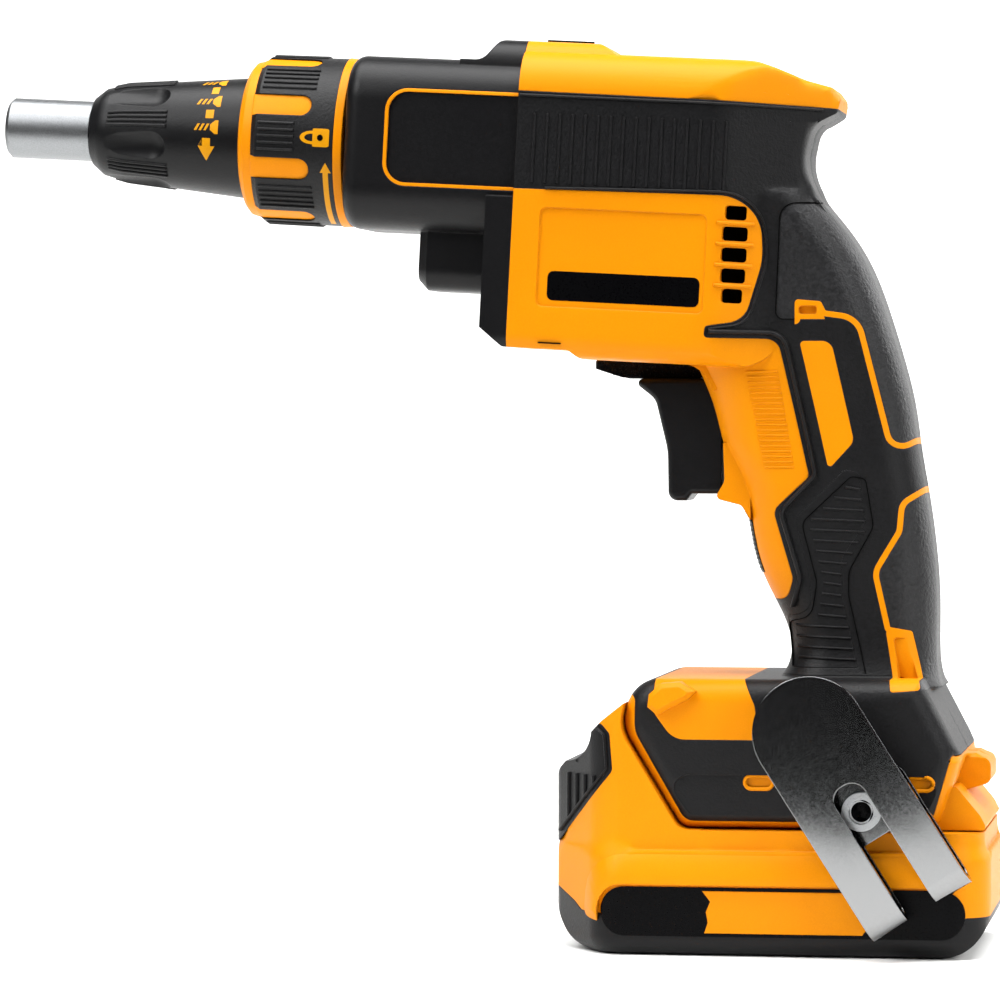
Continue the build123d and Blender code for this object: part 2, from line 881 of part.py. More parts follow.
nose_part = along(case_face(case_half, -case_bottom, case_top, case_corner), 0, joint_place)
nose_part = fillet(nose_part.faces().sort_by(Axis.X)[0].edges(), case_front_round)
bump = along(case_face(bump_half, -bump_bottom, -case_bottom + 8, 6.0), bump_start, joint_place)
bump = chamfer(bump.faces().sort_by(Axis.X)[0].edges(), 2.4)
flange_side = through(outline([
    (flange_start, -case_bottom + 10, 0),
    (flange_start, -bump_bottom - 9, 0),
    (flange_start + 6.0, -head_bottom + head_step, 1.5),
    (joint_place, -head_bottom + head_step, 0),
    (joint_place, -case_bottom + 10, 0),
]))
flange = flange_side & along(head_section(), 0, joint_place)
ear_side = through(outline([
    (ear_start - 8, 0, 0),
    (joint_place, 0, 0),
    (joint_place, crown_top, 0),
    (ear_start + 2, crown_top, 2.5),
    (ear_start - 2, case_top, 4),
    (ear_start - 8, case_top, 0),
]))
ear = ear_side & along(crown_section(), 0, joint_place)
case = nose_part + bump + flange + ear
pinion_room = gear_module * (pinion_teeth / 2 + 1) + 3.0
case = case - rod(chamber_radius, chamber_start, joint_place)
case = case - rod(pinion_room, pinion_start - 3, joint_place, motor_drop)
case = case - rod(bush_radius, bush_start, chamber_start) - rod(flange_radius - 1.5, 0, bush_start)

panel_end = joint_place + 20


def panel_outline(shrink):
    return outline([
        (panel_end, -panel_bottom + shrink, 0),
        (panel_end, panel_top - shrink, 0),
        (panel_front + shrink, panel_top - shrink, panel_corner - shrink),
        (panel_front + shrink, -panel_bottom + shrink, panel_corner - shrink),
    ])


panel_room = through(panel_outline(0)) - through(panel_outline(trim_width))
deep = block((0, -case_half + trim_depth, -reach), (joint_place, case_half - trim_depth, reach))
trim = (panel_room & nose_part) - deep
pocket = (through(panel_outline(trim_width)) & nose_part) - block(
    (0, -case_half + panel_recess, -reach), (joint_place, case_half - panel_recess, reach))
case = case - trim - pocket
lens_low = -head_bottom + 4.4
lens_box = block(
    (flange_start - 1, -lens_half, lens_low),
    (flange_start + lens_depth, lens_half, lens_low + lens_height),
)
lens = lens_box & flange
board_low = (flange_start + lens_depth, -lens_half + 0.5, lens_low + 0.5)
board_high = (flange_start + lens_depth + board_thickness, lens_half - 0.5, lens_low + lens_height - 0.5)
case = case - lens_box - block(board_low, board_high)
case_screws = []
for side, drop in case_screw_places:
    seat = flange_start + 2.4
    hole = rod(screw_radius, seat, joint_place, drop, side)
    recess = rod(screw_head + slide_gap, flange_start - 10, seat, drop, side)
    case = case - hole - recess
    shank = rod(screw_radius, seat, joint_place + case_boss_length, drop, side)
    head_cap = rod(screw_head, seat - screw_head_height, seat, drop, side)
    socket_face = RegularPolygon(screw_socket, 6)
    socket = extrude(Plane.YZ * socket_face, amount=socket_depth)
    socket = Pos(seat - screw_head_height, side, -drop) * socket
    case_screws.append(head_place * (shank + head_cap - socket))
save("gear_case", head_place * case)
save("gear_case_trim", head_place * trim)
save("led_lens", head_place * lens)
save("led_board", head_place * block(board_low, board_high))

plate = rod(chamber_radius, plate_start, joint_place) + rod(pinion_room, plate_start, joint_place, motor_drop)
plate = plate - rod(hub_bearing_radius, plate_start, joint_place)
plate = plate - rod(motor_bearing_radius, plate_start, joint_place, motor_drop)
save("bearing_plate", head_place * plate)

# Trigger, reversing lever and switch in the grip

trigger_step = switch_top - bracket_thickness - 0.4
trigger_face = outline([
    (-40.2, switch_top, 1.2),
    (-33.4, 142.4, 5),
    (-30.2, 129.0, 20),
    (-30.0, 115.9, 2.5),
    (-25.2, 115.9, 0.4),
    (-23.8, trigger_low, 0.4),
    (trigger_rear, trigger_low, 0),
    (trigger_rear, switch_top, 0),
])
trigger = through(trigger_face, trigger_half)
side_edges = trigger.edges().filter_by(lambda edge: abs(edge.center().Y) > trigger_half - 0.1)
finger_edges = side_edges.filter_by(lambda edge: edge.center().X < -29.0 and 117.0 < edge.center().Z < 144.0)
trigger = fillet(finger_edges, finger_round)
trigger = trigger - block(
    (lever_pivot_x - bracket_reach - trigger_travel - 1.6, -bracket_half - slide_gap, trigger_step),
    (trigger_rear + 1, bracket_half + slide_gap, switch_top + 1),
)
stem_z = (switch_bottom + switch_top) / 2
spring_pocket = 9.0
pocket_radius = 4.8
stem_end = switch_front + 6.0


def level_rod(radius, x_low, x_high, z):
    return Pos((x_low + x_high) / 2, 0, z) * Rot(0, 90, 0) * Cylinder(radius, x_high - x_low)


trigger = trigger - level_rod(pocket_radius, trigger_rear - spring_pocket, trigger_rear, stem_z)
trigger = trigger + level_rod(stem_radius, trigger_rear - spring_pocket, stem_end, stem_z)
save("trigger", trigger)

switch = block((switch_front, -switch_half, switch_bottom), (switch_rear, switch_half, switch_top))
switch = switch + block(
    (lever_pivot_x - bracket_reach, -bracket_half, switch_top - bracket_thickness),
    (switch_front, bracket_half, switch_top),
)
switch = switch - level_rod(stem_radius + slide_gap, switch_front, stem_end + trigger_travel + 1, stem_z)
pivot = Cylinder(lever_pin, lever_high - switch_top)
switch = switch + Pos(lever_pivot_x, 0, (switch_top + lever_high) / 2) * pivot
save("trigger_switch", switch)

trigger_wire = 0.8
trigger_turns = 5
trigger_coil_length = switch_front - (trigger_rear - spring_pocket) - trigger_travel - 2.0
trigger_pitch = (trigger_coil_length - trigger_wire) / trigger_turns
trigger_coil = coil(pocket_radius - 1.2, trigger_wire, trigger_turns, trigger_pitch)
coil_front = switch_front - trigger_coil_length + trigger_wire / 2
save("trigger_spring", Pos(coil_front - 0.1, 0, stem_z) * trigger_coil)

lever_face = outline([
    (lever_pivot_x + 4.0, -lever_half, 3.5),
    (lever_pivot_x + 4.0, lever_half, 3.5),
    (lever_pivot_x - lever_reach * 0.6, lever_half, 6),
    (lever_pivot_x - lever_reach, lever_tip_half, 3),
    (lever_pivot_x - lever_reach, -lever_tip_half, 3),
    (lever_pivot_x - lever_reach * 0.6, -lever_half, 6),
])
lever = Pos(0, 0, lever_low) * extrude(lever_face, amount=lever_height)
lever = fillet(lever.faces().sort_by(Axis.Z)[-1].edges(), lever_round)
lever = lever - Pos(lever_pivot_x, 0, lever_low) * Cylinder(lever_pin + run_gap, 3 * lever_height)
lever_tip = lever_pivot_x - lever_reach
lever = lever - through(outline([
    (lever_tip - 1, lever_low - 1, 0),
    (lever_tip - 1, lever_low + lever_taper, 0),
    (lever_tip, lever_low + lever_taper, 0),
    (lever_tip + lever_reach / 4, lever_low, 0),
    (lever_tip + lever_reach / 4, lever_low - 1, 0),
]))
save("reversing_lever", lever)

# Electronics in the grip and foot

save("controller_module", block(controller_low, controller_high))
terminal_step = block(
    (terminal_low[0], -terminal_high[1], terminal_low[2] + 6),
    (terminal_low[0] + 8, terminal_high[1], terminal_high[2]),
)
save("terminal_block", block(terminal_low, terminal_high) - terminal_step)
blades = []
for y in blade_places:
    blades.append(block(
        (blade_front, y - contact_thickness / 2, blade_low),
        (blade_rear, y + contact_thickness / 2, terminal_low[2]),
    ))
save("contact_blades", *blades)

# Screws of the housing and of the gear case, all of one size

housing_screws = []
for x, z, seat in screw_places:
    shank = cross_rod(screw_radius, x, z, seat - screw_depth, seat)
    cap = cross_rod(screw_head, x, z, seat, seat + screw_head_height)
    socket = extrude(Plane.XZ * RegularPolygon(screw_socket, 6), amount=socket_depth)
    socket = Pos(x, seat + screw_head_height, z) * socket
    housing_screws.append(shank + cap - socket)
save("housing_screws", *case_screws, *housing_screws)

# Belt hook: a slotted steel strip folded back on itself below its screw

hook_place = Location((hook_x, 0, hook_z), (0, -hook_lean, 0))
inner_leg = -hook_boss
outer_leg = inner_leg - hook_sheet - hook_gap
bend_radius = hook_gap / 2 + hook_sheet
bend_y = inner_leg - bend_radius
leg_low = -hook_down + bend_radius
half_width = hook_width / 2
outer_plan = outline([
    (-half_width, leg_low, 0),
    (half_width, leg_low, 0),
    (half_width, hook_up, half_width - 0.01),
    (-half_width, hook_up, half_width - 0.01),
])
inner_plan = outline([
    (-half_width, leg_low, 0),
    (half_width, leg_low, 0),
    (half_width, hook_head_radius + 3.6, 6),
    (-half_width, hook_head_radius + 3.6, 6),
])
hook = side_prism(outer_plan, outer_leg - hook_sheet, outer_leg)
hook = hook + side_prism(inner_plan, inner_leg - hook_sheet, inner_leg)
fold = Pos(0, bend_y, leg_low) * Rot(0, 90, 0) * (
    Cylinder(bend_radius, hook_width) - Cylinder(hook_gap / 2, hook_width))
hook = hook + (fold & block((-reach, -reach, -reach), (reach, reach, leg_low)))
outer_slot = RectangleRounded(hook_slot, hook_slot_top + reach, hook_slot / 2 - 0.5)
outer_slot = Pos(0, (hook_slot_top - reach) / 2) * outer_slot
inner_slot_top = hook_head_radius + 3.0  # below the screw
inner_slot = Pos(0, (-inner_slot_top - reach) / 2) * Rectangle(hook_slot, reach - inner_slot_top)
hook = hook - side_prism(outer_slot, -reach, inner_leg - hook_sheet - 0.6) - side_prism(inner_slot, -reach, 0)
hook = hook - cross_rod(hook_screw_radius + run_gap, 0, 0, -reach, 0)
save("belt_hook", hook_place * hook)

head_seat = inner_leg - hook_sheet
hook_screw = cross_rod(hook_screw_radius, hook_x, hook_z, head_seat, -foot_half + wall)
hook_screw = hook_screw + cross_rod(hook_head_radius, hook_x, hook_z, head_seat - hook_head_height, head_seat)
socket_floor = head_seat - 0.8
hook_screw = hook_screw - cross_rod(hook_socket, hook_x, hook_z, head_seat - hook_head_height, socket_floor)
save("belt_hook_screw", hook_screw)

# Battery: two shells round a row of cells, a black front bezel and a sprung release button


def battery_plan(inset):
    face = outline([
        (battery_front, -battery_bow_half, 8),
        (battery_front + battery_bow, -battery_half, battery_corner),
        (battery_rear, -battery_half, battery_corner),
        (battery_rear, battery_half, battery_corner),
        (battery_front + battery_bow, battery_half, battery_corner),
        (battery_front, battery_bow_half, 8),
    ])
    return face if inset == 0 else offset(face, -inset)


def nose_plan(inset):
    """Plan of the raised front: flush with the base in front, narrower by the shoulder at the sides."""
    half = battery_half - battery_shoulder
    face = outline([
        (battery_front, -battery_bow_half, 8),
        (battery_front + battery_bow, -half, battery_corner),
        (battery_rear, -half, battery_corner),
        (battery_rear, half, battery_corner),
        (battery_front + battery_bow, half, battery_corner),
        (battery_front, battery_bow_half, 8),
    ])
    return face if inset == 0 else offset(face, -inset)


def base_profile(inset):
    """Side view of the base with its two rounded ends."""
    return outline([
        (battery_front + inset, inset, base_front_round - inset),
        (battery_rear - inset, inset, base_rear_round - inset),
        (battery_rear - inset, reach, 0),
        (battery_front + inset, reach, 0),
    ])


def nose_profile(setback, bottom):
    """Side view of the battery's raised front, its front faces set back."""
    return outline([
        (battery_front + setback, bottom, 0),
        (battery_front + setback, nose_slope_low, 5),
        (nose_slope_x + setback, nose_slope_high, 3),
        (nose_slope_x + setback + 6.4, nose_block_top, 1.5),
        (nose_rear, nose_block_top, 0),
        (nose_rear, bottom, 0),
    ])


def layer(face, low, high):
    return Pos(0, 0, low) * extrude(face, amount=high - low)


below_seam = through(outline([
    (-reach, -1.0, 0),
    (-reach, battery_front_split, 0),
    (battery_front + 0.6, battery_front_split, 1),
    (battery_front + 6.0, battery_front_split - 3.0, 1.5),
    (battery_front + 8.4, battery_split, 1),
    (reach, battery_split, 0),
    (reach, -1.0, 0),
]))
belt = layer(battery_plan(0), 0, battery_belt)
belt = fillet(belt.faces().sort_by(Axis.Z)[0].edges(), battery_base_round) & through(base_profile(0))
room_top = battery_top - battery_wall
cell_room = layer(battery_plan(battery_wall), battery_wall, battery_belt - 0.4)
cell_room = cell_room + layer(battery_plan(battery_wall + battery_shoulder), battery_wall, room_top)
cell_room = cell_room & through(base_profile(battery_wall))
lower = (belt & below_seam) - cell_room
battery_bosses = [(battery_front + 9.2, 11.0), (battery_front + 9.2, -11.0)]
for x, y in battery_bosses:
    boss = Pos(x, y, battery_split / 2 + 0.6) * Cylinder(boss_radius, battery_split - 1.2)
    lower = lower + (boss & belt)
    lower = lower - Pos(x, y, 0) * Cylinder(screw_head + slide_gap, 2 * battery_screw_seat)
    lower = lower - Pos(x, y, battery_split / 2) * Cylinder(screw_radius, battery_split)

nose_low = battery_top - 6.0
nose_body = layer(nose_plan(0), battery_split, reach)
nose_block = through(nose_profile(0, nose_low)) & nose_body
nose_block = nose_block - through(offset(foot_outline(), slide_gap))
upper = belt - below_seam + layer(battery_plan(battery_shoulder), battery_belt, battery_top) + nose_block
tower_front = -34.0
tower = block((tower_front - 8, -neck_half, battery_top - 1), (tower_rear, neck_half, floor_top + slide_gap))
tower = tower + block(
    (tower_front - 8, -flange_half, floor_top + slide_gap),
    (tower_rear, flange_half, tower_top),
)
tower_trim = through(nose_profile(0, nose_low))
tower_trim = tower_trim + block((tower_front, -reach, battery_top - 1), (reach, reach, reach))
upper = upper + (tower & tower_trim) - cell_room
upper = upper - block(
    (tower_front + battery_wall, -neck_half + battery_wall, battery_split),
    (tower_rear - battery_wall, neck_half - battery_wall, tower_top - battery_wall),
)
for y in blade_places:
    upper = upper - block(
        (blade_front - 1.0, y - slot_half, blade_low - 1.0),
        (tower_rear + 1, y + slot_half, tower_top + 1),
    )

latch_x = nose_slope_x - (nose_slope_high - latch_top) * slope_run
latch_face = outline([
    (battery_front, latch_bottom, 1),
    (battery_front, nose_slope_low, 5),
    (latch_x, latch_top, 0),
    (latch_x + latch_thickness, latch_top, 0),
    (battery_front + latch_thickness, nose_slope_low, 5),
    (battery_front + latch_thickness, latch_bottom, 1),
])
slope_length = math.hypot(nose_slope_x - battery_front, nose_slope_high - nose_slope_low)
slope_out = ((nose_slope_low - nose_slope_high) / slope_length, (nose_slope_x - battery_front) / slope_length)
scoop_lift = latch_scoop - latch_scoop_depth
thumb_x = (battery_front + nose_slope_x) / 2 + slope_out[0] * scoop_lift
thumb_z = (nose_slope_low + nose_slope_high) / 2 + slope_out[1] * scoop_lift
thumb_scoop = cross_rod(latch_scoop, thumb_x, thumb_z, -battery_half, battery_half)
latch = (through(latch_face, latch_half) & nose_body) - thumb_scoop
latch_room = through(offset(latch_face, slide_gap), latch_half + slide_gap)
latch_room = latch_room + Pos(latch_travel, 0, 0) * latch_room + Pos(latch_travel / 2, 0, 0) * latch_room
latch_room = latch_room + Pos(-latch_thickness / 2, 0, 0) * latch_room
latch_spring_z = (latch_bottom + nose_slope_low) / 2
latch_back = battery_front + latch_thickness + latch_travel + slide_gap
spring_well = 5.0
latch_well = level_rod(4.2, latch_back - 1, latch_back + spring_well, latch_spring_z)

bezel_side = through(outline([
    (-reach, bezel_low, 0),
    (-reach, bezel_top, 0),
    (nose_slope_x + 0.2, bezel_top, 1),
    (nose_slope_x + 2.4, bezel_top - 2.4, 1.5),
    (nose_slope_x + 3.2, bezel_top - 12.0, 2),
    (battery_front + 0.8, bezel_low, 0),
]))
bezel_core = through(nose_profile(bezel_depth, nose_low - 4.0))
bezel_core = bezel_core & layer(nose_plan(bezel_depth), battery_split, reach)
bezel_room = bezel_side - bezel_core
bezel = (nose_block & bezel_room) - latch_room - thumb_scoop
upper = upper - bezel_room - latch_room - latch_well
for x, y in battery_bosses:
    boss = Cylinder(boss_radius, room_top - battery_split)
    upper = upper + Pos(x, y, (battery_split + room_top) / 2) * boss
    upper = upper - Pos(x, y, battery_split) * Cylinder(screw_radius, 2 * battery_screw_reach)
save("battery_lower_shell", lower)
save("battery_upper_shell", upper)
save("battery_bezel", bezel)
save("latch_button", latch)
latch_coil = coil(3.2, 0.8, 4, (spring_well - 1.0) / 4)
save("latch_spring", Pos(latch_back + 0.5, 0, latch_spring_z) * latch_coil)

battery_screws = []
for x, y in battery_bosses:
    shank = Pos(x, y, (battery_screw_seat + battery_split + battery_screw_reach) / 2) * Cylinder(
        screw_radius, battery_split + battery_screw_reach - battery_screw_seat)
    cap = Pos(x, y, battery_screw_seat - screw_head_height / 2) * Cylinder(screw_head, screw_head_height)
    battery_screws.append(shank + cap)
save("battery_screws", *battery_screws)

label_band = layer(battery_plan(-label_proud) - battery_plan(0), 1, battery_belt)
label_face = Pos((label_front + label_rear) / 2, (label_low + label_high) / 2) * SlotOverall(
    label_rear - label_front, label_high - label_low)
label = through(label_face) & label_band
save("battery_labels", label)

cell_z = battery_wall + 0.1 + cell_radius
cells = []
for i in range(cell_count):
    x = cell_shift + (i - (cell_count - 1) / 2) * cell_pitch
    cells.append(cross_rod(cell_radius, x, cell_z, -cell_length / 2, cell_length / 2))
save("battery_cells", *cells)
row_half = cell_pitch * (cell_count - 1) / 2
holder_low = cell_z + cell_radius / 2
holder_high = cell_z + cell_radius + 1.2
cradle = block(
    (cell_shift - row_half - cell_radius * 0.6, -cell_length / 2 + 4, holder_low),
    (cell_shift + row_half + cell_radius * 0.6, cell_length / 2 - 4, holder_high),
)
for cell in cells:
    cradle = cradle - cell
save("cell_cradle", cradle)
board_x = cell_shift - row_half
save("battery_board", block(
    (board_x, -neck_half + 4, holder_high),
    (cell_shift + row_half, neck_half - 4, holder_high + board_thickness),
))
clips = []
for y in blade_places:
    for turn in (-1, 1):
        middle = y + turn * (contact_thickness / 2 + clip_gap + clip_thickness / 2)
        clips.append(block(
            (blade_front, middle - clip_thickness / 2, holder_high + board_thickness),
            (blade_front + clip_length, middle + clip_thickness / 2, blade_low + clip_height),
        ))
save("battery_terminals", *clips)

# Housing: a hollow body in two halves with soft panels let into its sides

body_outer = body(0)
body_skin = body(skin)
body_inner = body(wall)

# Ribs and bosses that hold what the housing carries
motor_ribs = []
for place in (stator_start + rib_thickness, stator_end - 2 * rib_thickness):
    rib = block(
        (place, -reach, -reach),
        (place + rib_thickness, reach, -motor_drop + stator_radius + rib_thickness),
    )
    motor_ribs.append(rib - rod(stator_radius, place, place + rib_thickness, motor_drop))
bearing_rib = block(
    (rear_bearing_start, -reach, -motor_drop - motor_bearing_radius - rib_thickness),
    (rear_bearing_end, reach, -motor_drop + motor_bearing_radius + rib_thickness),
)
motor_ribs.append(bearing_rib - rod(motor_bearing_radius, rear_bearing_start, rear_bearing_end, motor_drop))
case_boss_end = joint_place + case_boss_length
case_bosses = []
case_holes = []
for side, drop in case_screw_places:
    case_bosses.append(rod(boss_radius, joint_place, case_boss_end, drop, side))
    case_holes.append(rod(screw_radius, joint_place, case_boss_end, drop, side))


def side_ribs(x_low, x_high, heights, face):
    """Flat ribs from both side walls in to a carried piece's sides."""
    ribs = []
    for z in heights:
        ribs.append(block((x_low, face, z), (x_high, reach, z + rib_thickness)))
        ribs.append(block((x_low, -reach, z), (x_high, -face, z + rib_thickness)))
    return ribs


carried = side_ribs(controller_low[0] + 2, controller_high[0] - 2, (82.0, 100.0), controller_high[1])
carried += side_ribs(switch_front + 4, switch_rear - 2, (switch_bottom + 4, switch_top - 8), switch_half)
carried += side_ribs(terminal_low[0] + 3, terminal_high[0] - 3, (terminal_low[2] + 4,), terminal_high[1])
bosses = [cross_rod(boss_radius, x, z, -reach, reach) for x, z, _ in screw_places]
filling = merged([head_place * rib for rib in motor_ribs + case_bosses] + carried + bosses)
shell = (body_outer - body_inner) + (filling & body(wall - rib_root))

# Lip of the grip under the trigger, hook bosses, rear skirt and bit block of the foot
lip = through(outline([
    (-8.0, 111.0, 0),
    (-10.4, 114.8, 1.5),
    (-17.4, 116.6, 1.2),
    (-14.8, 121.0, 3),
    (-15.2, 131.0, 0),
    (-8.0, 131.0, 0),
]), trigger_half + wall + slide_gap)
above_battery = block((-reach, -reach, foot_bottom), (reach, reach, reach))
hook_bosses = above_battery & (
    cross_rod(hook_boss_radius, hook_x, hook_z, -hook_boss, -foot_half + wall)
    + cross_rod(hook_boss_radius, hook_x, hook_z, foot_half - wall, hook_boss)
)
skirt = through(outline([
    (38.6, foot_bottom, 0),
    (skirt_rear, foot_bottom, 1),
    (skirt_rear - 2.0, 36.2, 2),
    (46.8, skirt_top, 1),
    (43.4, skirt_top, 0),
]), skirt_half)
tab = through(outline([
    (44.6, skirt_top - 3, 0),
    (skirt_rear - 0.4, skirt_top, 2),
    (skirt_rear - 0.4, tab_top - 2, 2.5),
    (50.6, tab_top, 1),
    (45.2, tab_top, 0),
]), tab_half)
bit_block = through(outline([
    (-31.8, 63.6, 0),
    (-31.4, 66.8, 0),
    (-28.4, 69.6, 0),
    (-23.4, 70.0, 0),
    (-19.4, 67.6, 0),
    (-21.6, 65.4, 0),
    (-25.9, 63.4, 0),
    (-29.2, 61.4, 0),
]), foot_half + bit_block_proud)
bit_block = bit_block & block((-reach, foot_half - wall, 0), (reach, reach, reach))
bit_block = chamfer(bit_block.faces().sort_by(Axis.Y)[-1].edges(), bit_block_chamfer)
bit_blocks = bit_block + mirror(bit_block, Plane.XZ)
shell = shell + lip + hook_bosses + (skirt - body_inner) + (tab - body_inner) + bit_blocks

# Room for the battery's tower, the trigger and the carried pieces
neck_slot = block(
    (-reach, -neck_half - slide_gap, foot_bottom - 5),
    (tower_rear + slide_gap, neck_half + slide_gap, floor_top + 1),
)
flange_slot = block(
    (-reach, -flange_half - slide_gap, floor_top),
    (tower_rear + slide_gap, flange_half + slide_gap, tower_top + slide_gap),
)
trigger_slot = block(
    (-reach, -trigger_half - slide_gap, trigger_low - slide_gap),
    (switch_front, trigger_half + slide_gap, lever_high + slide_gap),
)
switch_room = block((switch_front, -switch_half, switch_bottom), (switch_rear, switch_half, switch_top))
lever_slot = block(
    (-reach, -lever_sweep, lever_low - slide_gap),
    (lever_pivot_x - lever_reach / 3, lever_sweep, lever_high + slide_gap),
)
trigger_slot = trigger_slot + lever_slot
shell = shell - neck_slot - flange_slot - trigger_slot - switch_room
shell = shell - block(controller_low, controller_high) - block(terminal_low, terminal_high)

# Vents, side slots and screw holes
vents = []
for drop, length in vent_rows:
    vent_face = Pos(vent_place, drop) * RectangleRounded(length, vent_height, vent_corner)
    vents.append(through(vent_face))
vents = merged(vents)
side_slots = merged([through(slot_face(x, 44.4, 6.4, 2.6)) for x in (-3.4, 37.6)])
screw_holes = []
for x, z, seat in screw_places:
    screw_holes.append(cross_rod(screw_radius, x, z, seat - screw_depth, seat + 1))
    screw_holes.append(cross_rod(screw_head + slide_gap, x, z, seat, reach))
screw_holes = merged(screw_holes)
hook_holes = cross_rod(hook_screw_radius, hook_x, hook_z, -reach, -foot_half + wall)
hook_holes = hook_holes + cross_rod(hook_screw_radius, hook_x, hook_z, foot_half - wall, reach)
shell = shell - head_place * vents - head_place * merged(case_holes) - (side_slots - body_skin)
shell = shell - screw_holes - hook_holes


# Soft panels, each filling its own pocket in the shell


def region(corners, grow=0.0):
    face = outline(corners)
    return through(face if grow == 0 else offset(face, grow))


plate_region = region(name_plate_outline())
upper_region = region(upper_pad_outline())
lower_region = region(lower_pad_outline())
palm_region = region(palm_pad_outline())
inset_region = region(foot_inset_outline())
line_region = region(upper_pad_outline(), line_width) + region(lower_pad_outline(), line_width)
above_line = block((-reach, -reach, 171.0), (reach, reach, 3 * reach))
above_line = above_line + block((-reach, -reach, 150.0), (4.2, reach, 3 * reach))
head_strip = region(upper_pad_outline(), line_width) & above_line
yellow_blocks = region(lower_block_outline()) + region(upper_block_outline())
main_region = region(overmould_outline()) - plate_region - line_region + head_strip - upper_region
main_region = main_region - palm_region - yellow_blocks
cover_region = region(foot_cover_outline()) - inset_region - side_slots - hook_bosses - bit_blocks
cover_region = cover_region - main_region - palm_region - lower_region - yellow_blocks

panels = {
    "overmould": main_region,
    "upper_rear_pad": upper_region,
    "lower_rear_pad": lower_region - yellow_blocks,
    "palm_pad": palm_region,
    "foot_cover": cover_region,
}
openings = trigger_slot + screw_holes + neck_slot + flange_slot
for name, shape in panels.items():
    pocket = shape - body_skin
    shell = shell - pocket
    panel = (pocket & body_outer) - openings
    save(f"{name}_left", panel & left_half)
    save(f"{name}_right", panel & right_half)
save("housing_left", shell & left_half)
save("housing_right", shell & right_half)
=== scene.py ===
import json
import math
import bmesh
import bpy
from mathutils import Matrix, Vector
from mathutils.bvhtree import BVHTree


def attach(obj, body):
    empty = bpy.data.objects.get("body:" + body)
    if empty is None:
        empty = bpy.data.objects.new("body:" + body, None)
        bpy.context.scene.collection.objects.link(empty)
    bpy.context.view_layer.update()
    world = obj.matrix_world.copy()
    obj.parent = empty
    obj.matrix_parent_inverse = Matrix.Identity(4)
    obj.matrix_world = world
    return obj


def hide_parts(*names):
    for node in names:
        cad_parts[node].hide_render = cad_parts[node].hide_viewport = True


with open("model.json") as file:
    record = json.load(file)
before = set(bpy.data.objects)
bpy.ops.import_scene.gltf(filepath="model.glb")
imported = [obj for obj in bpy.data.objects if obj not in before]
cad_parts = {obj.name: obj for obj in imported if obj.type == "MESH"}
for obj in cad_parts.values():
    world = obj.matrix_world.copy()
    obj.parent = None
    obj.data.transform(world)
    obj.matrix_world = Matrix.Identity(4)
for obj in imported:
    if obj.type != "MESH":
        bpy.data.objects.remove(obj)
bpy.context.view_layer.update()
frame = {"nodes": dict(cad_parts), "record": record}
scene = bpy.context.scene
mm = 0.001
print("frame loaded:", len(frame["nodes"]), "nodes")


def linearColour(code):  # sRGB hex to linear RGBA
    parts = [int(code[i:i + 2], 16) / 255 for i in (1, 3, 5)]
    return [p / 12.92 if p <= 0.04045 else ((p + 0.055) / 1.055) ** 2.4 for p in parts] + [1.0]


def addNode(tree, kind, values=None, links=None, **settings):
    node = tree.nodes.new(kind)
    for key, value in settings.items():
        setattr(node, key, value)
    for key, value in (values or {}).items():
        node.inputs[key].default_value = value
    for key, socket in (links or {}).items():
        tree.links.new(socket, node.inputs[key])
    return node


def startMaterial(name):
    material = bpy.data.materials.new(name)
    material.use_nodes = True
    tree = material.node_tree
    tree.nodes.clear()
    return material, tree


# Moulded plastics: the tool's spark-eroded surface gives a satin skin that breaks up every highlight


def mouldedPlastic(name, look):
    material, tree = startMaterial(name)
    place = addNode(tree, "ShaderNodeTexCoord").outputs["Object"]
    grain = addNode(tree, "ShaderNodeTexNoise", {"Scale": 1 / (look["grainMm"] * mm), "Detail": 3.0, "Roughness": 0.6},
                    {"Vector": place})
    cloud = addNode(tree, "ShaderNodeTexNoise", {"Scale": 1 / (look["cloudMm"] * mm), "Detail": 2.0}, {"Vector": place})
    tone = addNode(tree, "ShaderNodeMix", {6: linearColour(look["dark"]), 7: linearColour(look["light"])},
                   {0: cloud.outputs["Fac"]}, data_type="RGBA")
    fleck = addNode(tree, "ShaderNodeMapRange", {"From Min": 0.35, "From Max": 0.65, "To Min": 1 - look["fleck"],
                                                 "To Max": 1 + look["fleck"]}, {"Value": grain.outputs["Fac"]})
    colour = addNode(tree, "ShaderNodeVectorMath", None, {0: tone.outputs[2], 1: fleck.outputs[0]}, operation="MULTIPLY")
    gloss = addNode(tree, "ShaderNodeMapRange", {"From Min": 0.3, "From Max": 0.7, "To Min": look["rough"] - 0.06,
                                                 "To Max": look["rough"] + 0.06}, {"Value": grain.outputs["Fac"]})
    edge = addNode(tree, "ShaderNodeBevel", {"Radius": look["edgeMm"] * mm}, samples=4)
    bump = addNode(tree, "ShaderNodeBump", {"Strength": look["bump"], "Distance": look["depthMm"] * mm},
                   {"Height": grain.outputs["Fac"], "Normal": edge.outputs[0]})
    skin = addNode(tree, "ShaderNodeBsdfPrincipled", {"IOR": look["ior"], "Specular IOR Level": look["shine"]},
                   {"Base Color": colour.outputs[0], "Roughness": gloss.outputs[0], "Normal": bump.outputs[0]})
    addNode(tree, "ShaderNodeOutputMaterial", None, {"Surface": skin.outputs[0]})
    return material


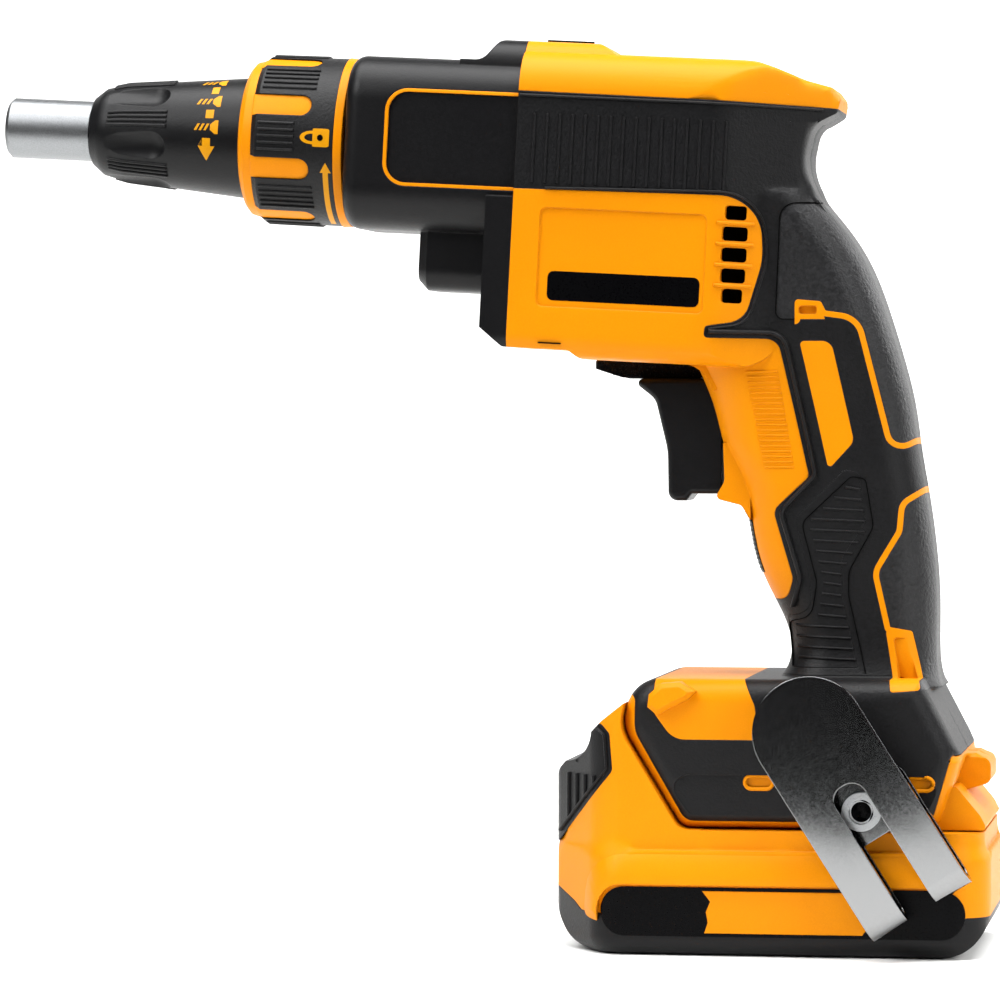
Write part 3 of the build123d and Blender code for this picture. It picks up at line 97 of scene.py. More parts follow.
yellowAbs = mouldedPlastic("yellow glass-filled nylon, spark-textured", {
    "dark": "#C87700", "light": "#CF7E00", "fleck": 0.03, "rough": 0.44, "grainMm": 0.34, "cloudMm": 40,
    "bump": 0.25, "depthMm": 0.05, "edgeMm": 0.45, "ior": 1.5, "shine": 0.09})
blackRubber = mouldedPlastic("black soft overmould, matt moulded", {
    "dark": "#08080A", "light": "#0E0E0F", "fleck": 0.3, "rough": 0.46, "grainMm": 0.7, "cloudMm": 30,
    "bump": 0.8, "depthMm": 0.16, "edgeMm": 0.5, "ior": 1.48, "shine": 0.2})
padRubber = mouldedPlastic("black soft overmould, leather-grained", {
    "dark": "#0B0B0C", "light": "#18181A", "fleck": 0.5, "rough": 0.42, "grainMm": 1.0, "cloudMm": 30,
    "bump": 1.0, "depthMm": 0.3, "edgeMm": 0.5, "ior": 1.48, "shine": 0.34})
# Near-black and dull: painted shade, laid as strips and sheets in grooves, seams, slots and behind the vents
paintedShadeRubber = mouldedPlastic("black soft overmould, mould parting groove", {
    "dark": "#020202", "light": "#030303", "fleck": 0.02, "rough": 0.8, "grainMm": 0.40, "cloudMm": 30,
    "bump": 0.1, "depthMm": 0.03, "edgeMm": 0.1, "ior": 1.4, "shine": 0.05})
blackNylon = mouldedPlastic("black nylon, satin moulded", {
    "dark": "#08080A", "light": "#0D0D0E", "fleck": 0.10, "rough": 0.4, "grainMm": 0.5, "cloudMm": 30,
    "bump": 0.5, "depthMm": 0.1, "edgeMm": 0.5, "ior": 1.5, "shine": 0.16})
glossNylon = mouldedPlastic("black acetal, polished tool", {
    "dark": "#060607", "light": "#0A0A0B", "fleck": 0.03, "rough": 0.25, "grainMm": 0.5, "cloudMm": 30,
    "bump": 0.1, "depthMm": 0.03, "edgeMm": 0.4, "ior": 1.48, "shine": 0.14})
# Near-black film: labels, the dark plate and the keyhole print; also painted shade on the hook screw's recess floor
labelAndShadeFilm = mouldedPlastic("label film, printed and lacquered", {
    "dark": "#030304", "light": "#050506", "fleck": 0.02, "rough": 0.3, "grainMm": 0.6, "cloudMm": 30,
    "bump": 0.06, "depthMm": 0.02, "edgeMm": 0.1, "ior": 1.5, "shine": 0.05})
amberInk = mouldedPlastic("amber ink, pad printed", {
    "dark": "#B87C00", "light": "#C28400", "fleck": 0.04, "rough": 0.45, "grainMm": 0.3, "cloudMm": 8,
    "bump": 0.1, "depthMm": 0.02, "edgeMm": 0.05, "ior": 1.48, "shine": 0.15})
greenLaminate = mouldedPlastic("circuit board laminate, solder-mask coated", {
    "dark": "#0E4A2A", "light": "#135C35", "fleck": 0.05, "rough": 0.35, "grainMm": 0.8, "cloudMm": 12,
    "bump": 0.1, "depthMm": 0.03, "edgeMm": 0.1, "ior": 1.5, "shine": 0.5})


# Metals: the grain direction and grit decide how a highlight spreads


def metalFinish(name, look):
    material, tree = startMaterial(name)
    place = addNode(tree, "ShaderNodeTexCoord").outputs["Object"]
    stretch = addNode(tree, "ShaderNodeMapping", {"Scale": look["stretch"]}, {"Vector": place})
    grit = addNode(tree, "ShaderNodeTexNoise", {"Scale": 1 / (look["gritMm"] * mm), "Detail": 4.0, "Roughness": 0.65},
                   {"Vector": stretch.outputs[0]})
    tone = addNode(tree, "ShaderNodeMix", {6: linearColour(look["dark"]), 7: linearColour(look["light"])},
                   {0: grit.outputs["Fac"]}, data_type="RGBA")
    gloss = addNode(tree, "ShaderNodeMapRange", {"From Min": 0.3, "From Max": 0.7, "To Min": look["rough"] - look["spread"],
                                                 "To Max": look["rough"] + look["spread"]}, {"Value": grit.outputs["Fac"]})
    edge = addNode(tree, "ShaderNodeBevel", {"Radius": look["edgeMm"] * mm}, samples=4)
    bump = addNode(tree, "ShaderNodeBump", {"Strength": look["bump"], "Distance": look["depthMm"] * mm},
                   {"Height": grit.outputs["Fac"], "Normal": edge.outputs[0]})
    skin = addNode(tree, "ShaderNodeBsdfPrincipled", {"Metallic": 1.0},
                   {"Base Color": tone.outputs[2], "Roughness": gloss.outputs[0], "Normal": bump.outputs[0]})
    addNode(tree, "ShaderNodeOutputMaterial", None, {"Surface": skin.outputs[0]})
    return material


blastedSteel = metalFinish("steel, bead blasted", {
    "dark": "#5F6163", "light": "#97999B", "rough": 0.40, "spread": 0.08, "gritMm": 0.35, "stretch": (1, 1, 1),
    "bump": 0.35, "depthMm": 0.05, "edgeMm": 0.3})
turnedSteel = metalFinish("steel, turned", {
    "dark": "#8A8C8F", "light": "#C4C6C8", "rough": 0.3, "spread": 0.06, "gritMm": 0.5, "stretch": (6, 1, 1),
    "bump": 0.15, "depthMm": 0.03, "edgeMm": 0.2})
platedSteel = metalFinish("steel strip, bright nickel plated", {
    "dark": "#78797A", "light": "#868788", "rough": 0.13, "spread": 0.03, "gritMm": 0.7, "stretch": (1, 1, 1),
    "bump": 0.10, "depthMm": 0.03, "edgeMm": 0.35})
blackScrew = metalFinish("screw steel, blackened", {
    "dark": "#2A2A2C", "light": "#4A4B4D", "rough": 0.35, "spread": 0.08, "gritMm": 0.4, "stretch": (1, 1, 1),
    "bump": 0.2, "depthMm": 0.03, "edgeMm": 0.2})
laminatedIron = metalFinish("motor iron, stacked laminations", {
    "dark": "#3A3B3D", "light": "#5C5D60", "rough": 0.5, "spread": 0.1, "gritMm": 0.5, "stretch": (8, 1, 1),
    "bump": 0.3, "depthMm": 0.05, "edgeMm": 0.2})
woundCopper = metalFinish("copper wire, enamelled", {
    "dark": "#8A4A22", "light": "#C57A41", "rough": 0.35, "spread": 0.08, "gritMm": 0.6, "stretch": (1, 6, 1),
    "bump": 0.3, "depthMm": 0.05, "edgeMm": 0.2})
sinteredBronze = metalFinish("bronze bush, sintered", {
    "dark": "#7A5A2C", "light": "#A98548", "rough": 0.5, "spread": 0.1, "gritMm": 0.3, "stretch": (1, 1, 1),
    "bump": 0.3, "depthMm": 0.04, "edgeMm": 0.2})
castAluminium = metalFinish("aluminium, die cast", {
    "dark": "#8C8D8F", "light": "#B4B5B7", "rough": 0.5, "spread": 0.1, "gritMm": 0.6, "stretch": (1, 1, 1),
    "bump": 0.3, "depthMm": 0.05, "edgeMm": 0.2})


def clearMoulding(name, look):  # clear lens: smooth, with a faint moulded ripple
    material, tree = startMaterial(name)
    place = addNode(tree, "ShaderNodeTexCoord").outputs["Object"]
    ripple = addNode(tree, "ShaderNodeTexNoise", {"Scale": 1 / (look["rippleMm"] * mm)}, {"Vector": place})
    bump = addNode(tree, "ShaderNodeBump", {"Strength": 0.2, "Distance": 0.05 * mm}, {"Height": ripple.outputs["Fac"]})
    skin = addNode(tree, "ShaderNodeBsdfPrincipled", {
        "Base Color": linearColour(look["tint"]), "Roughness": 0.08, "IOR": 1.58, "Transmission Weight": 0.85},
        {"Normal": bump.outputs[0]})
    addNode(tree, "ShaderNodeOutputMaterial", None, {"Surface": skin.outputs[0]})
    return material


clearLens = clearMoulding("polycarbonate lens, clear moulded", {"tint": "#E9EEF2", "rippleMm": 2.5})
print("materials ready")


def finishMesh(mesh, sharpAngle):
    mesh.shade_smooth()
    mesh.set_sharp_from_angle(angle=math.radians(sharpAngle))


shading = {"sharp": 28, "soft": 40, "film": 40, "band": 50, "solid": 35}  # degrees past which an edge stays sharp
merging = {"doubleMm": 0.008, "sliverMm": 0.002}


def nodeCopy(node):  # merged copy of a CAD node's loose triangles
    mesh = bpy.data.meshes.new(node)
    work = bmesh.new()
    work.from_mesh(frame["nodes"][node].data)
    bmesh.ops.remove_doubles(work, verts=work.verts, dist=merging["doubleMm"] * mm)
    bmesh.ops.dissolve_degenerate(work, edges=work.edges, dist=merging["sliverMm"] * mm)
    work.to_mesh(mesh)
    work.free()
    if "custom_normal" in mesh.attributes:
        mesh.attributes.remove(mesh.attributes["custom_normal"])
    return mesh


def addPiece(name, mesh, material, body, stands=()):
    piece = bpy.data.objects.new(name, mesh)
    scene.collection.objects.link(piece)
    if material is not None:
        mesh.materials.clear()
        mesh.materials.append(material)
    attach(piece, body)
    if stands:
        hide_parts(*stands)
    return piece


bodyOf = {node: body for body, nodes in frame["record"]["behaviour"]["bodies"].items() for node in nodes}
slotOf = {part["node"]: part["material_slot"] for part in frame["record"]["subparts"]}

# What shows from outside is a smoothed copy of its solid
shownFinish = {
    "housing_left": yellowAbs, "housing_right": yellowAbs, "lock_collar": yellowAbs, "gear_case_trim": yellowAbs,
    "battery_upper_shell": yellowAbs,
    "overmould_left": blackRubber, "overmould_right": blackRubber, "upper_rear_pad_left": padRubber,
    "upper_rear_pad_right": padRubber, "lower_rear_pad_left": padRubber, "lower_rear_pad_right": padRubber,
    "palm_pad_left": blackRubber, "palm_pad_right": blackRubber, "foot_cover_left": blackRubber,
    "foot_cover_right": blackRubber, "lock_collar_grip": blackRubber,
    "gear_case": blackNylon, "depth_sleeve": blackNylon, "trigger": blackNylon, "reversing_lever": glossNylon,
    "battery_lower_shell": blackNylon, "latch_button": blackNylon, "battery_bezel": blackNylon,
    "nosepiece_tip": blastedSteel, "screw_bit": turnedSteel, "belt_hook": platedSteel, "belt_hook_screw": turnedSteel,
    "housing_screws": blackScrew, "battery_screws": blackScrew, "led_lens": clearLens, "battery_labels": labelAndShadeFilm,
}
shown = {}
for node, material in shownFinish.items():
    mesh = nodeCopy(node)
    finishMesh(mesh, shading["sharp"])
    shown[node] = addPiece(node + ".shown", mesh, material, bodyOf[node], [node])

# Inner pieces keep their solids
innerFinish = {
    "satin_steel": turnedSteel, "motor_iron": laminatedIron, "copper": woundCopper, "bronze": sinteredBronze,
    "cast_plate": castAluminium, "circuit_board": greenLaminate, "black_moulding": blackNylon,
}
for node, piece in frame["nodes"].items():
    if node not in shownFinish:
        piece.data.materials.clear()
        piece.data.materials.append(innerFinish.get(slotOf[node], blackScrew))
print("solids dressed")

# Places on the head run along its axis from the gear case's front face and up from that axis, in mm
head = {"x": -113.5, "z": 210.3, "tilt": 3.0}


def headPoint(along, side, up):
    tilt = math.radians(head["tilt"])
    x = head["x"] + along * math.cos(tilt) + up * math.sin(tilt)
    z = head["z"] - along * math.sin(tilt) + up * math.cos(tilt)
    return Vector((x, side, z)) * mm


# Each of these takes a place in mm and gives a point outside the tool with the aim of the ray that lands it
outside = {"side": 90, "round": 60, "front": -90}


def onSide(side):
    return lambda x, z: (Vector((x, side * outside["side"], z)) * mm, Vector((0, -side, 0)))


def onHead(side):
    return lambda along, up: (headPoint(along, side * outside["side"], up), Vector((0, -side, 0)))


def onNose(along, angle):  # angle in degrees below the left side's level
    turn = math.radians(angle)
    point = headPoint(along, -outside["round"] * math.cos(turn), -outside["round"] * math.sin(turn))
    return point, (headPoint(along, 0, 0) - point).normalized()


def onFront(y, z):
    return Vector((outside["front"], y, z)) * mm, Vector((1, 0, 0))


def onTop(along, side):
    point = headPoint(along, side, outside["round"])
    return point, (headPoint(along, side, 0) - point).normalized()


arcSteps = 6  # pieces in each rounded corner


def roundedPath(corners, closed=False):  # (across, up, radius) corners to points, arcs by formula
    path = []
    count = len(corners)
    for i, (x, y, radius) in enumerate(corners):
        here = Vector((x, y))
        if radius == 0 or (not closed and i in (0, count - 1)):
            path.append((x, y))
            continue
        before = (Vector(corners[i - 1][:2]) - here).normalized()
        after = (Vector(corners[(i + 1) % count][:2]) - here).normalized()
        half = before.angle(after) / 2
        reach = radius / math.tan(half)
        centre = here + (before + after).normalized() * (radius / math.sin(half))
        start, end = here + before * reach - centre, here + after * reach - centre
        sweepAngle = start.angle_signed(end)
        for k in range(arcSteps + 1):
            spoke = start.copy()
            spoke.rotate(Matrix.Rotation(-sweepAngle * k / arcSteps, 2))
            path.append(tuple(centre + spoke))
    return path


# Raised strips: a wire laid on a surface by rays, given a rounded section whose ends sink into the surface
stripForm = {"rayM": 0.2, "endShare": 0.6, "endHeight": 0.15, "sides": 10}


def stripTree():
    tree = bpy.data.node_groups.new("raised strips", "GeometryNodeTree")
    for name, kind in (("Geometry", "Geometry"), ("Target", "Object"), ("Width", "Float"), ("Height", "Float"),
                       ("Step", "Float"), ("Rounded", "Float"), ("Finish", "Material")):
        tree.interface.new_socket(name, in_out="INPUT", socket_type="NodeSocket" + kind)
    tree.interface.new_socket("Geometry", in_out="OUTPUT", socket_type="NodeSocketGeometry")
    given = addNode(tree, "NodeGroupInput").outputs
    wires = addNode(tree, "GeometryNodeMeshToCurve", None, {"Mesh": given["Geometry"]})
    runs = addNode(tree, "GeometryNodeResampleCurve", None, {"Curve": wires.outputs[0], "Length": given["Step"]},
                   mode="LENGTH")
    target = addNode(tree, "GeometryNodeObjectInfo", None, {"Object": given["Target"]}, transform_space="RELATIVE")
    aim = addNode(tree, "GeometryNodeInputNamedAttribute", {"Name": "aim"}, data_type="FLOAT_VECTOR")
    ray = addNode(tree, "GeometryNodeRaycast", {"Ray Length": stripForm["rayM"]},
                  {"Target Geometry": target.outputs["Geometry"], "Ray Direction": aim.outputs[0]})
    kept = addNode(tree, "GeometryNodeSeparateGeometry", None,
                   {"Geometry": runs.outputs[0], "Selection": ray.outputs["Is Hit"]}, domain="POINT")
    facing = addNode(tree, "GeometryNodeStoreNamedAttribute", {"Name": "facing"},
                     {"Geometry": kept.outputs[0], "Value": ray.outputs["Hit Normal"]}, data_type="FLOAT_VECTOR")
    landed = addNode(tree, "GeometryNodeSetPosition", None,
                     {"Geometry": facing.outputs[0], "Position": ray.outputs["Hit Position"]})
    upward = addNode(tree, "GeometryNodeInputNamedAttribute", {"Name": "facing"}, data_type="FLOAT_VECTOR")
    stood = addNode(tree, "GeometryNodeSetCurveNormal", None, {"Curve": landed.outputs[0], "Normal": upward.outputs[0]},
                    mode="FREE")
    spot = addNode(tree, "GeometryNodeSplineParameter")
    whole = addNode(tree, "GeometryNodeSplineLength")
    rest = addNode(tree, "ShaderNodeMath", None, {0: whole.outputs[0], 1: spot.outputs["Length"]}, operation="SUBTRACT")
    nearEnd = addNode(tree, "ShaderNodeMath", None, {0: spot.outputs["Length"], 1: rest.outputs[0]}, operation="MINIMUM")
    share = addNode(tree, "ShaderNodeMath", None, {0: nearEnd.outputs[0], 1: given["Width"]}, operation="DIVIDE")
    ease = addNode(tree, "ShaderNodeMapRange", {"From Max": stripForm["endShare"], "To Min": stripForm["endHeight"]},
                   {"Value": share.outputs[0]}, interpolation_type="SMOOTHERSTEP")
    drop = addNode(tree, "ShaderNodeMix", {"A": 1.0}, {"Factor": given["Rounded"], "B": ease.outputs[0]})
    eased = addNode(tree, "GeometryNodeSetCurveRadius", None, {"Curve": stood.outputs[0], "Radius": drop.outputs[0]})
    ring = addNode(tree, "GeometryNodeCurvePrimitiveCircle", {"Resolution": stripForm["sides"], "Radius": 1.0})
    size = addNode(tree, "ShaderNodeCombineXYZ", {"Z": 1.0}, {"X": given["Width"], "Y": given["Height"]})
    section = addNode(tree, "GeometryNodeTransform", None, {"Geometry": ring.outputs[0], "Scale": size.outputs[0]})
    solid = addNode(tree, "GeometryNodeCurveToMesh", {"Fill Caps": True},
                    {"Curve": eased.outputs[0], "Profile Curve": section.outputs[0]})
    smooth = addNode(tree, "GeometryNodeSetShadeSmooth", None, {"Geometry": solid.outputs[0]})
    real = addNode(tree, "GeometryNodeRealizeInstances", None, {"Geometry": smooth.outputs[0]})
    dressed = addNode(tree, "GeometryNodeSetMaterial", None, {"Geometry": real.outputs[0], "Material": given["Finish"]})
    addNode(tree, "NodeGroupOutput", None, {0: dressed.outputs[0]})
    return tree


strips = stripTree()


def surfaceStrips(name, target, wires, look, material, body, slot):  # wires: lists of places, closed where looped
    mesh = bpy.data.meshes.new(name)
    points, edges, aims = [], [], []
    for wire, closed in wires:
        first = len(points)
        points += [point for point, _ in wire]
        aims += [value for _, aim in wire for value in aim]
        edges += [(first + i, first + i + 1) for i in range(len(wire) - 1)]
        edges += [(len(points) - 1, first)] if closed else []
    mesh.from_pydata(points, edges, [])
    mesh.attributes.new("aim", "FLOAT_VECTOR", "POINT").data.foreach_set("vector", aims)
    maker = bpy.data.objects.new(name, mesh)
    scene.collection.objects.link(maker)
    modifier = maker.modifiers.new("strips", "NODES")
    modifier.node_group = strips
    values = {"Target": shown[target], "Width": look["widthMm"] * mm / 2, "Height": look["heightMm"] * mm,
              "Step": look["stepMm"] * mm, "Rounded": look["rounded"], "Finish": material}
    for socket in strips.interface.items_tree:
        if socket.in_out == "INPUT" and socket.name in values:
            modifier[socket.identifier] = values[socket.name]
    made = bpy.data.meshes.new_from_object(maker.evaluated_get(bpy.context.evaluated_depsgraph_get()))
    bpy.data.objects.remove(maker)
    return addPiece(name, made, None, body)


bothSides = ((-1, "left"), (1, "right"))


def spread(first, last, count):
    return [first + (last - first) * i / (count - 1) for i in range(count)]


def oval(middle, half, count):
    turns = [2 * math.pi * i / count for i in range(count)]
    return [(middle[0] + half[0] * math.cos(turn), middle[1] + half[1] * math.sin(turn)) for turn in turns]


def box(low, high, corner):  # rounded rectangle between two corners
    (a, b), (c, d) = low, high
    return roundedPath([(a, b, corner), (c, b, corner), (c, d, corner), (a, d, corner)], True)


def finderOf(*nodes):  # finds where a ray lands on shown pieces
    points, faces = [], []
    for node in nodes:
        first = len(points)
        points += [vert.co.copy() for vert in shown[node].data.vertices]
        faces += [[first + i for i in face.vertices] for face in shown[node].data.polygons]
    return BVHTree.FromPolygons(points, faces)


def landing(finder, start, aim):  # where a ray lands, or the nearest place if it slips past an edge
    spot = finder.ray_cast(start, aim)[0]
    return finder.find_nearest(start + aim * outside["round"] * mm)[0] if spot is None else spot


# Pockets: drafted plugs cut out of a piece, each to a depth under the surface at its middle or at a named spot
plugMm = 4  # height of each plug


def cutPockets(node, pockets):
    finder = finderOf(node)
    plugs = bmesh.new()
    for outline, place, look in pockets:
        middle = [sum(values) / len(outline) for values in zip(*outline)]
        start, aim = place(*look.get("at", middle))
        floor = (landing(finder, start, aim) - start).dot(aim) + look["depthMm"] * mm
        rings = []
        for depth, grow in ((floor, 1.0), (floor - plugMm * mm, 1 + look["draft"] * plugMm / look["depthMm"])):
            spots = [place(*[m + (p - m) * grow for p, m in zip(spot, middle)]) for spot in outline]
            rings.append([plugs.verts.new(point + ray * depth) for point, ray in spots])
        for ring in rings:
            plugs.faces.new(ring)
        for i in range(len(outline)):
            k = (i + 1) % len(outline)
            plugs.faces.new((rings[0][i], rings[0][k], rings[1][k], rings[1][i]))
    bmesh.ops.recalc_face_normals(plugs, faces=plugs.faces)
    plugMesh = bpy.data.meshes.new("plugs")
    plugs.to_mesh(plugMesh)
    plugs.free()
    plug = bpy.data.objects.new("plugs", plugMesh)
    scene.collection.objects.link(plug)
    piece = shown[node]
    cut = piece.modifiers.new("pockets", "BOOLEAN")
    cut.operation, cut.solver, cut.object = "DIFFERENCE", "EXACT", plug
    made = bpy.data.meshes.new_from_object(piece.evaluated_get(bpy.context.evaluated_depsgraph_get()))
    piece.modifiers.clear()
    bpy.data.objects.remove(plug)
    piece.data = made
    finishMesh(made, shading["sharp"])


# Soft corners: inside a box the mesh is split finely and its corners are relaxed
seamMm = 0.1  # closer than this to the middle plane, a point stays on it


def softenCorners(node, look):
    relaxed = bmesh.new()
    relaxed.from_mesh(shown[node].data)
    spans = [(low * mm, high * mm) for low, high in zip(look["low"], look["high"])]

    def inBox(spot):
        return all(low <= value <= high for value, (low, high) in zip(spot, spans))

    def meetsBox(edge):
        return all(max(p, q) >= low and min(p, q) <= high
                   for p, q, (low, high) in zip(edge.verts[0].co, edge.verts[1].co, spans))

    for _ in range(look["splits"]):
        wide = [edge for edge in relaxed.edges if meetsBox(edge) and edge.calc_length() > look["stepMm"] * mm]
        bmesh.ops.subdivide_edges(relaxed, edges=wide, cuts=1)
        bmesh.ops.triangulate(relaxed, faces=[face for face in relaxed.faces if len(face.verts) > 3])
    moved = [vert for vert in relaxed.verts if inBox(vert.co)]
    seam = [vert for vert in moved if abs(vert.co.y) < seamMm * mm]
    for _ in range(look["rounds"]):
        bmesh.ops.smooth_vert(relaxed, verts=moved, factor=0.5, use_axis_x=True, use_axis_y=True, use_axis_z=True)
        for vert in seam:
            vert.co.y = 0
    relaxed.to_mesh(shown[node].data)
    relaxed.free()
    finishMesh(shown[node].data, shading["soft"])


# Back of the head: its neck under the black band, and the yellow cap above; the foot's rear; the battery's shoulder
neck = {"low": (-9.0, -40, 193.9), "high": (40, 40, 213.8), "stepMm": 1.3, "splits": 6, "rounds": 16}
cap = {"low": (-24.0, -40, 219.2), "high": (40, 40, 240), "stepMm": 1.3, "splits": 6, "rounds": 16}
foot = {"low": (43.0, -40, 50.0), "high": (70, 40, 72.6), "stepMm": 1.5, "splits": 6, "rounds": 14}
shoulder = {"low": (-70.0, -50, 17.6), "high": (70, 50, 30.4), "stepMm": 1.6, "splits": 6, "rounds": 14}
for _, hand in bothSides:
    softenCorners("overmould_" + hand, neck)
    softenCorners("housing_" + hand, neck)
    softenCorners("housing_" + hand, cap)
    softenCorners("foot_cover_" + hand, foot)
    softenCorners("housing_" + hand, foot)
softenCorners("battery_upper_shell", shoulder)
print("corners softened")

# Sunk field of the motor panel, slot in the upper loop, hollow of the lower block, step of the foot cover
sunk = {"field": {"low": (53.5, -41.0), "high": (96.6, -15.6), "corner": 1.6, "depthMm": 0.6, "draft": 0.014},
        "loop": {"low": (5.4, 164.4), "high": (9.8, 166.4), "corner": 0.6, "depthMm": 1.2, "draft": 0.05},
        "hollow": {"corners": ((29.7, 80.8), (33.1, 80.6), (36.0, 69.9), (31.6, 69.5)), "depthMm": 0.9, "draft": 0.05},
        "step": {"corners": ((-26.4, 43.2, 3), (-22.0, 46.2, 4), (40.2, 46.2, 3), (42.0, 42.0, 3), (38.6, 36.0, 2),
                             (-21.0, 36.0, 2)), "depthMm": 0.7, "draft": 0.01}}
for side, hand in bothSides:
    field, loop, hollow, step = [sunk[key] for key in ("field", "loop", "hollow", "step")]
    cutPockets("housing_" + hand, [
        (box(field["low"], field["high"], field["corner"]), onHead(side), field),
        (box(loop["low"], loop["high"], loop["corner"]), onSide(side), loop),
        (roundedPath([(x, z, 0.8) for x, z in hollow["corners"]], True), onSide(side), hollow)])
    cutPockets("foot_cover_" + hand, [(roundedPath(step["corners"], True), onSide(side), step)])
print("pockets cut")


# Prints: flat outlines laid on a surface as a thin film with a closed underside
underMm = 0.1  # how far the film's underside lies in the surface


def surfacePrint(name, targets, outlines, place, look, material, body, slot):
    finder = finderOf(*targets)
    film = bmesh.new()
    for outline in outlines:
        film.faces.new([film.verts.new((p, q, 0)) for p, q in outline])
    bmesh.ops.triangulate(film, faces=film.faces)
    bmesh.ops.subdivide_edges(film, edges=film.edges, cuts=look["cuts"], use_grid_fill=True)
    top, under = list(film.verts), {}
    rims = [edge for edge in film.edges if len(edge.link_faces) == 1]
    sheets = list(film.faces)
    for vert in top:
        start, aim = place(vert.co.x, vert.co.y)
        spot = landing(finder, start, aim)
        vert.co = spot - aim * look["proudMm"] * mm
        under[vert] = film.verts.new(spot + aim * underMm * mm)
    for face in sheets:
        film.faces.new([under[vert] for vert in reversed(face.verts)])
    for edge in rims:
        a, b = edge.verts
        film.faces.new((a, b, under[b], under[a]))
    bmesh.ops.recalc_face_normals(film, faces=film.faces)
    mesh = bpy.data.meshes.new(name)
    film.to_mesh(mesh)
    film.free()
    finishMesh(mesh, shading["film"])
    return addPiece(name, mesh, material, body)


# Bulging band: a strip between two paths on a surface, raised in a soft section and eased down at both ends
def bulgeBand(name, targets, paths, place, look, material, body):
    finder = finderOf(*targets)
    cuts = look["cuts"]
    outer, inner = [[Vector(a).lerp(Vector(b), k / cuts) for a, b in zip(path, path[1:]) for k in range(cuts)]
                    + [Vector(path[-1])] for path in paths]
    runs = [0.0]
    for a, b in zip(outer, outer[1:]):
        runs.append(runs[-1] + (b - a).length)
    band = bmesh.new()
    rows = []
    for a, b, run in zip(outer, inner, runs):
        ease = min(1, run / look["easeMm"], (runs[-1] - run) / look["easeMm"])
        row = []
        for share, rise in look["section"]:
            start, aim = place(*a.lerp(b, share))
            lift = rise * ease - look["sunkMm"]
            row.append(band.verts.new(landing(finder, start, aim) - aim * lift * mm))
        rows.append(row)
    for a, b in zip(rows, rows[1:]):
        for i in range(len(a)):
            k = (i + 1) % len(a)
            band.faces.new((a[i], a[k], b[k], b[i]))
    band.faces.new(rows[0])
    band.faces.new(rows[-1])
    bmesh.ops.recalc_face_normals(band, faces=band.faces)
    mesh = bpy.data.meshes.new(name)
    band.to_mesh(mesh)
    band.free()
    finishMesh(mesh, shading["band"])
    return addPiece(name, mesh, material, body)


def solidOutline(name, outline, low, high, turn, material, body):  # side-view outline carried across the tool
    solid = bmesh.new()
    ends = [[solid.verts.new(Vector((x, y * turn, z)) * mm) for x, z in outline] for y in (low, high)]
    for end in ends:
        solid.faces.new(end)
    for i in range(len(outline)):
        k = (i + 1) % len(outline)
        solid.faces.new((ends[0][i], ends[0][k], ends[1][k], ends[1][i]))
    bmesh.ops.recalc_face_normals(solid, faces=solid.faces)
    mesh = bpy.data.meshes.new(name)
    solid.to_mesh(mesh)
    solid.free()
    finishMesh(mesh, shading["solid"])
    return addPiece(name, mesh, material, body)


# One skin for each side of the grip, so that a strip can cross from piece to piece
for _, hand in bothSides:
    skin = bmesh.new()
    for node in ("housing_", "overmould_", "palm_pad_", "upper_rear_pad_", "foot_cover_", "lower_rear_pad_"):
        skin.from_mesh(shown[node + hand].data)
    skinMesh = bpy.data.meshes.new("skin")
    skin.to_mesh(skinMesh)
    skin.free()
    shown["skin_" + hand] = bpy.data.objects.new("skin", skinMesh)
    scene.collection.objects.link(shown["skin_" + hand])

# Ribs of the head's side strips
sideRibs = {"count": 16, "first": 50.6, "last": 100.4, "low": -9.2, "high": 8.8,
            "strip": {"widthMm": 0.95, "heightMm": 0.45, "stepMm": 0.5, "rounded": 1.0}}
# Bars between the vents
ventBars = {"rises": (-17.3, -22.7, -28.1, -33.4), "front": 99.2, "rear": 108.4,
            "strip": {"widthMm": 1.5, "heightMm": 0.5, "stepMm": 0.4, "rounded": 1.0}}
# Fine ribs on the yellow in front of the palm: top and bottom rows, front and rear ends
gripRibs = {"count": 19, "top": (149.5, -8.6, -0.2), "bottom": (124.8, -3.8, 3.8),
            "strip": {"widthMm": 0.7, "heightMm": 0.28, "stepMm": 0.4, "rounded": 1.0}}
# Dark ribbed strip on the front of the grip
frontRibs = {"count": 12, "low": 98.6, "high": 112.0, "seam": 0.3, "half": 9.6,
             "inlay": {"seam": 0.02, "low": 97.4, "high": 113.2, "half": 10.2, "corner": 0.2},
             "film": {"proudMm": 0.3, "cuts": 9},
             "strip": {"widthMm": 0.8, "heightMm": 0.5, "stepMm": 0.4, "rounded": 1.0}}
# Palm pad: its groove, and dashes that keep clear of it
palm = {"edge": [(3.4, 73.4, 0), (2.3, 84.8, 1), (8.4, 86.2, 4), (9.8, 95.0, 8), (5.8, 110.4, 3), (18.6, 122.4, 1.5),
                 (22.4, 121.8, 1.5), (24.4, 109.4, 4), (18.0, 97.8, 6), (18.0, 91.6, 6), (22.6, 71.8, 0)],
        "count": 17, "low": 75.4, "high": 119.4, "inset": 1.8, "shortest": 1.5, "fall": 0.3,
        "groove": {"widthMm": 0.9, "heightMm": 0.12, "stepMm": 0.5, "rounded": 0.0},
        "strip": {"widthMm": 0.9, "heightMm": 0.36, "stepMm": 0.4, "rounded": 1.0}}
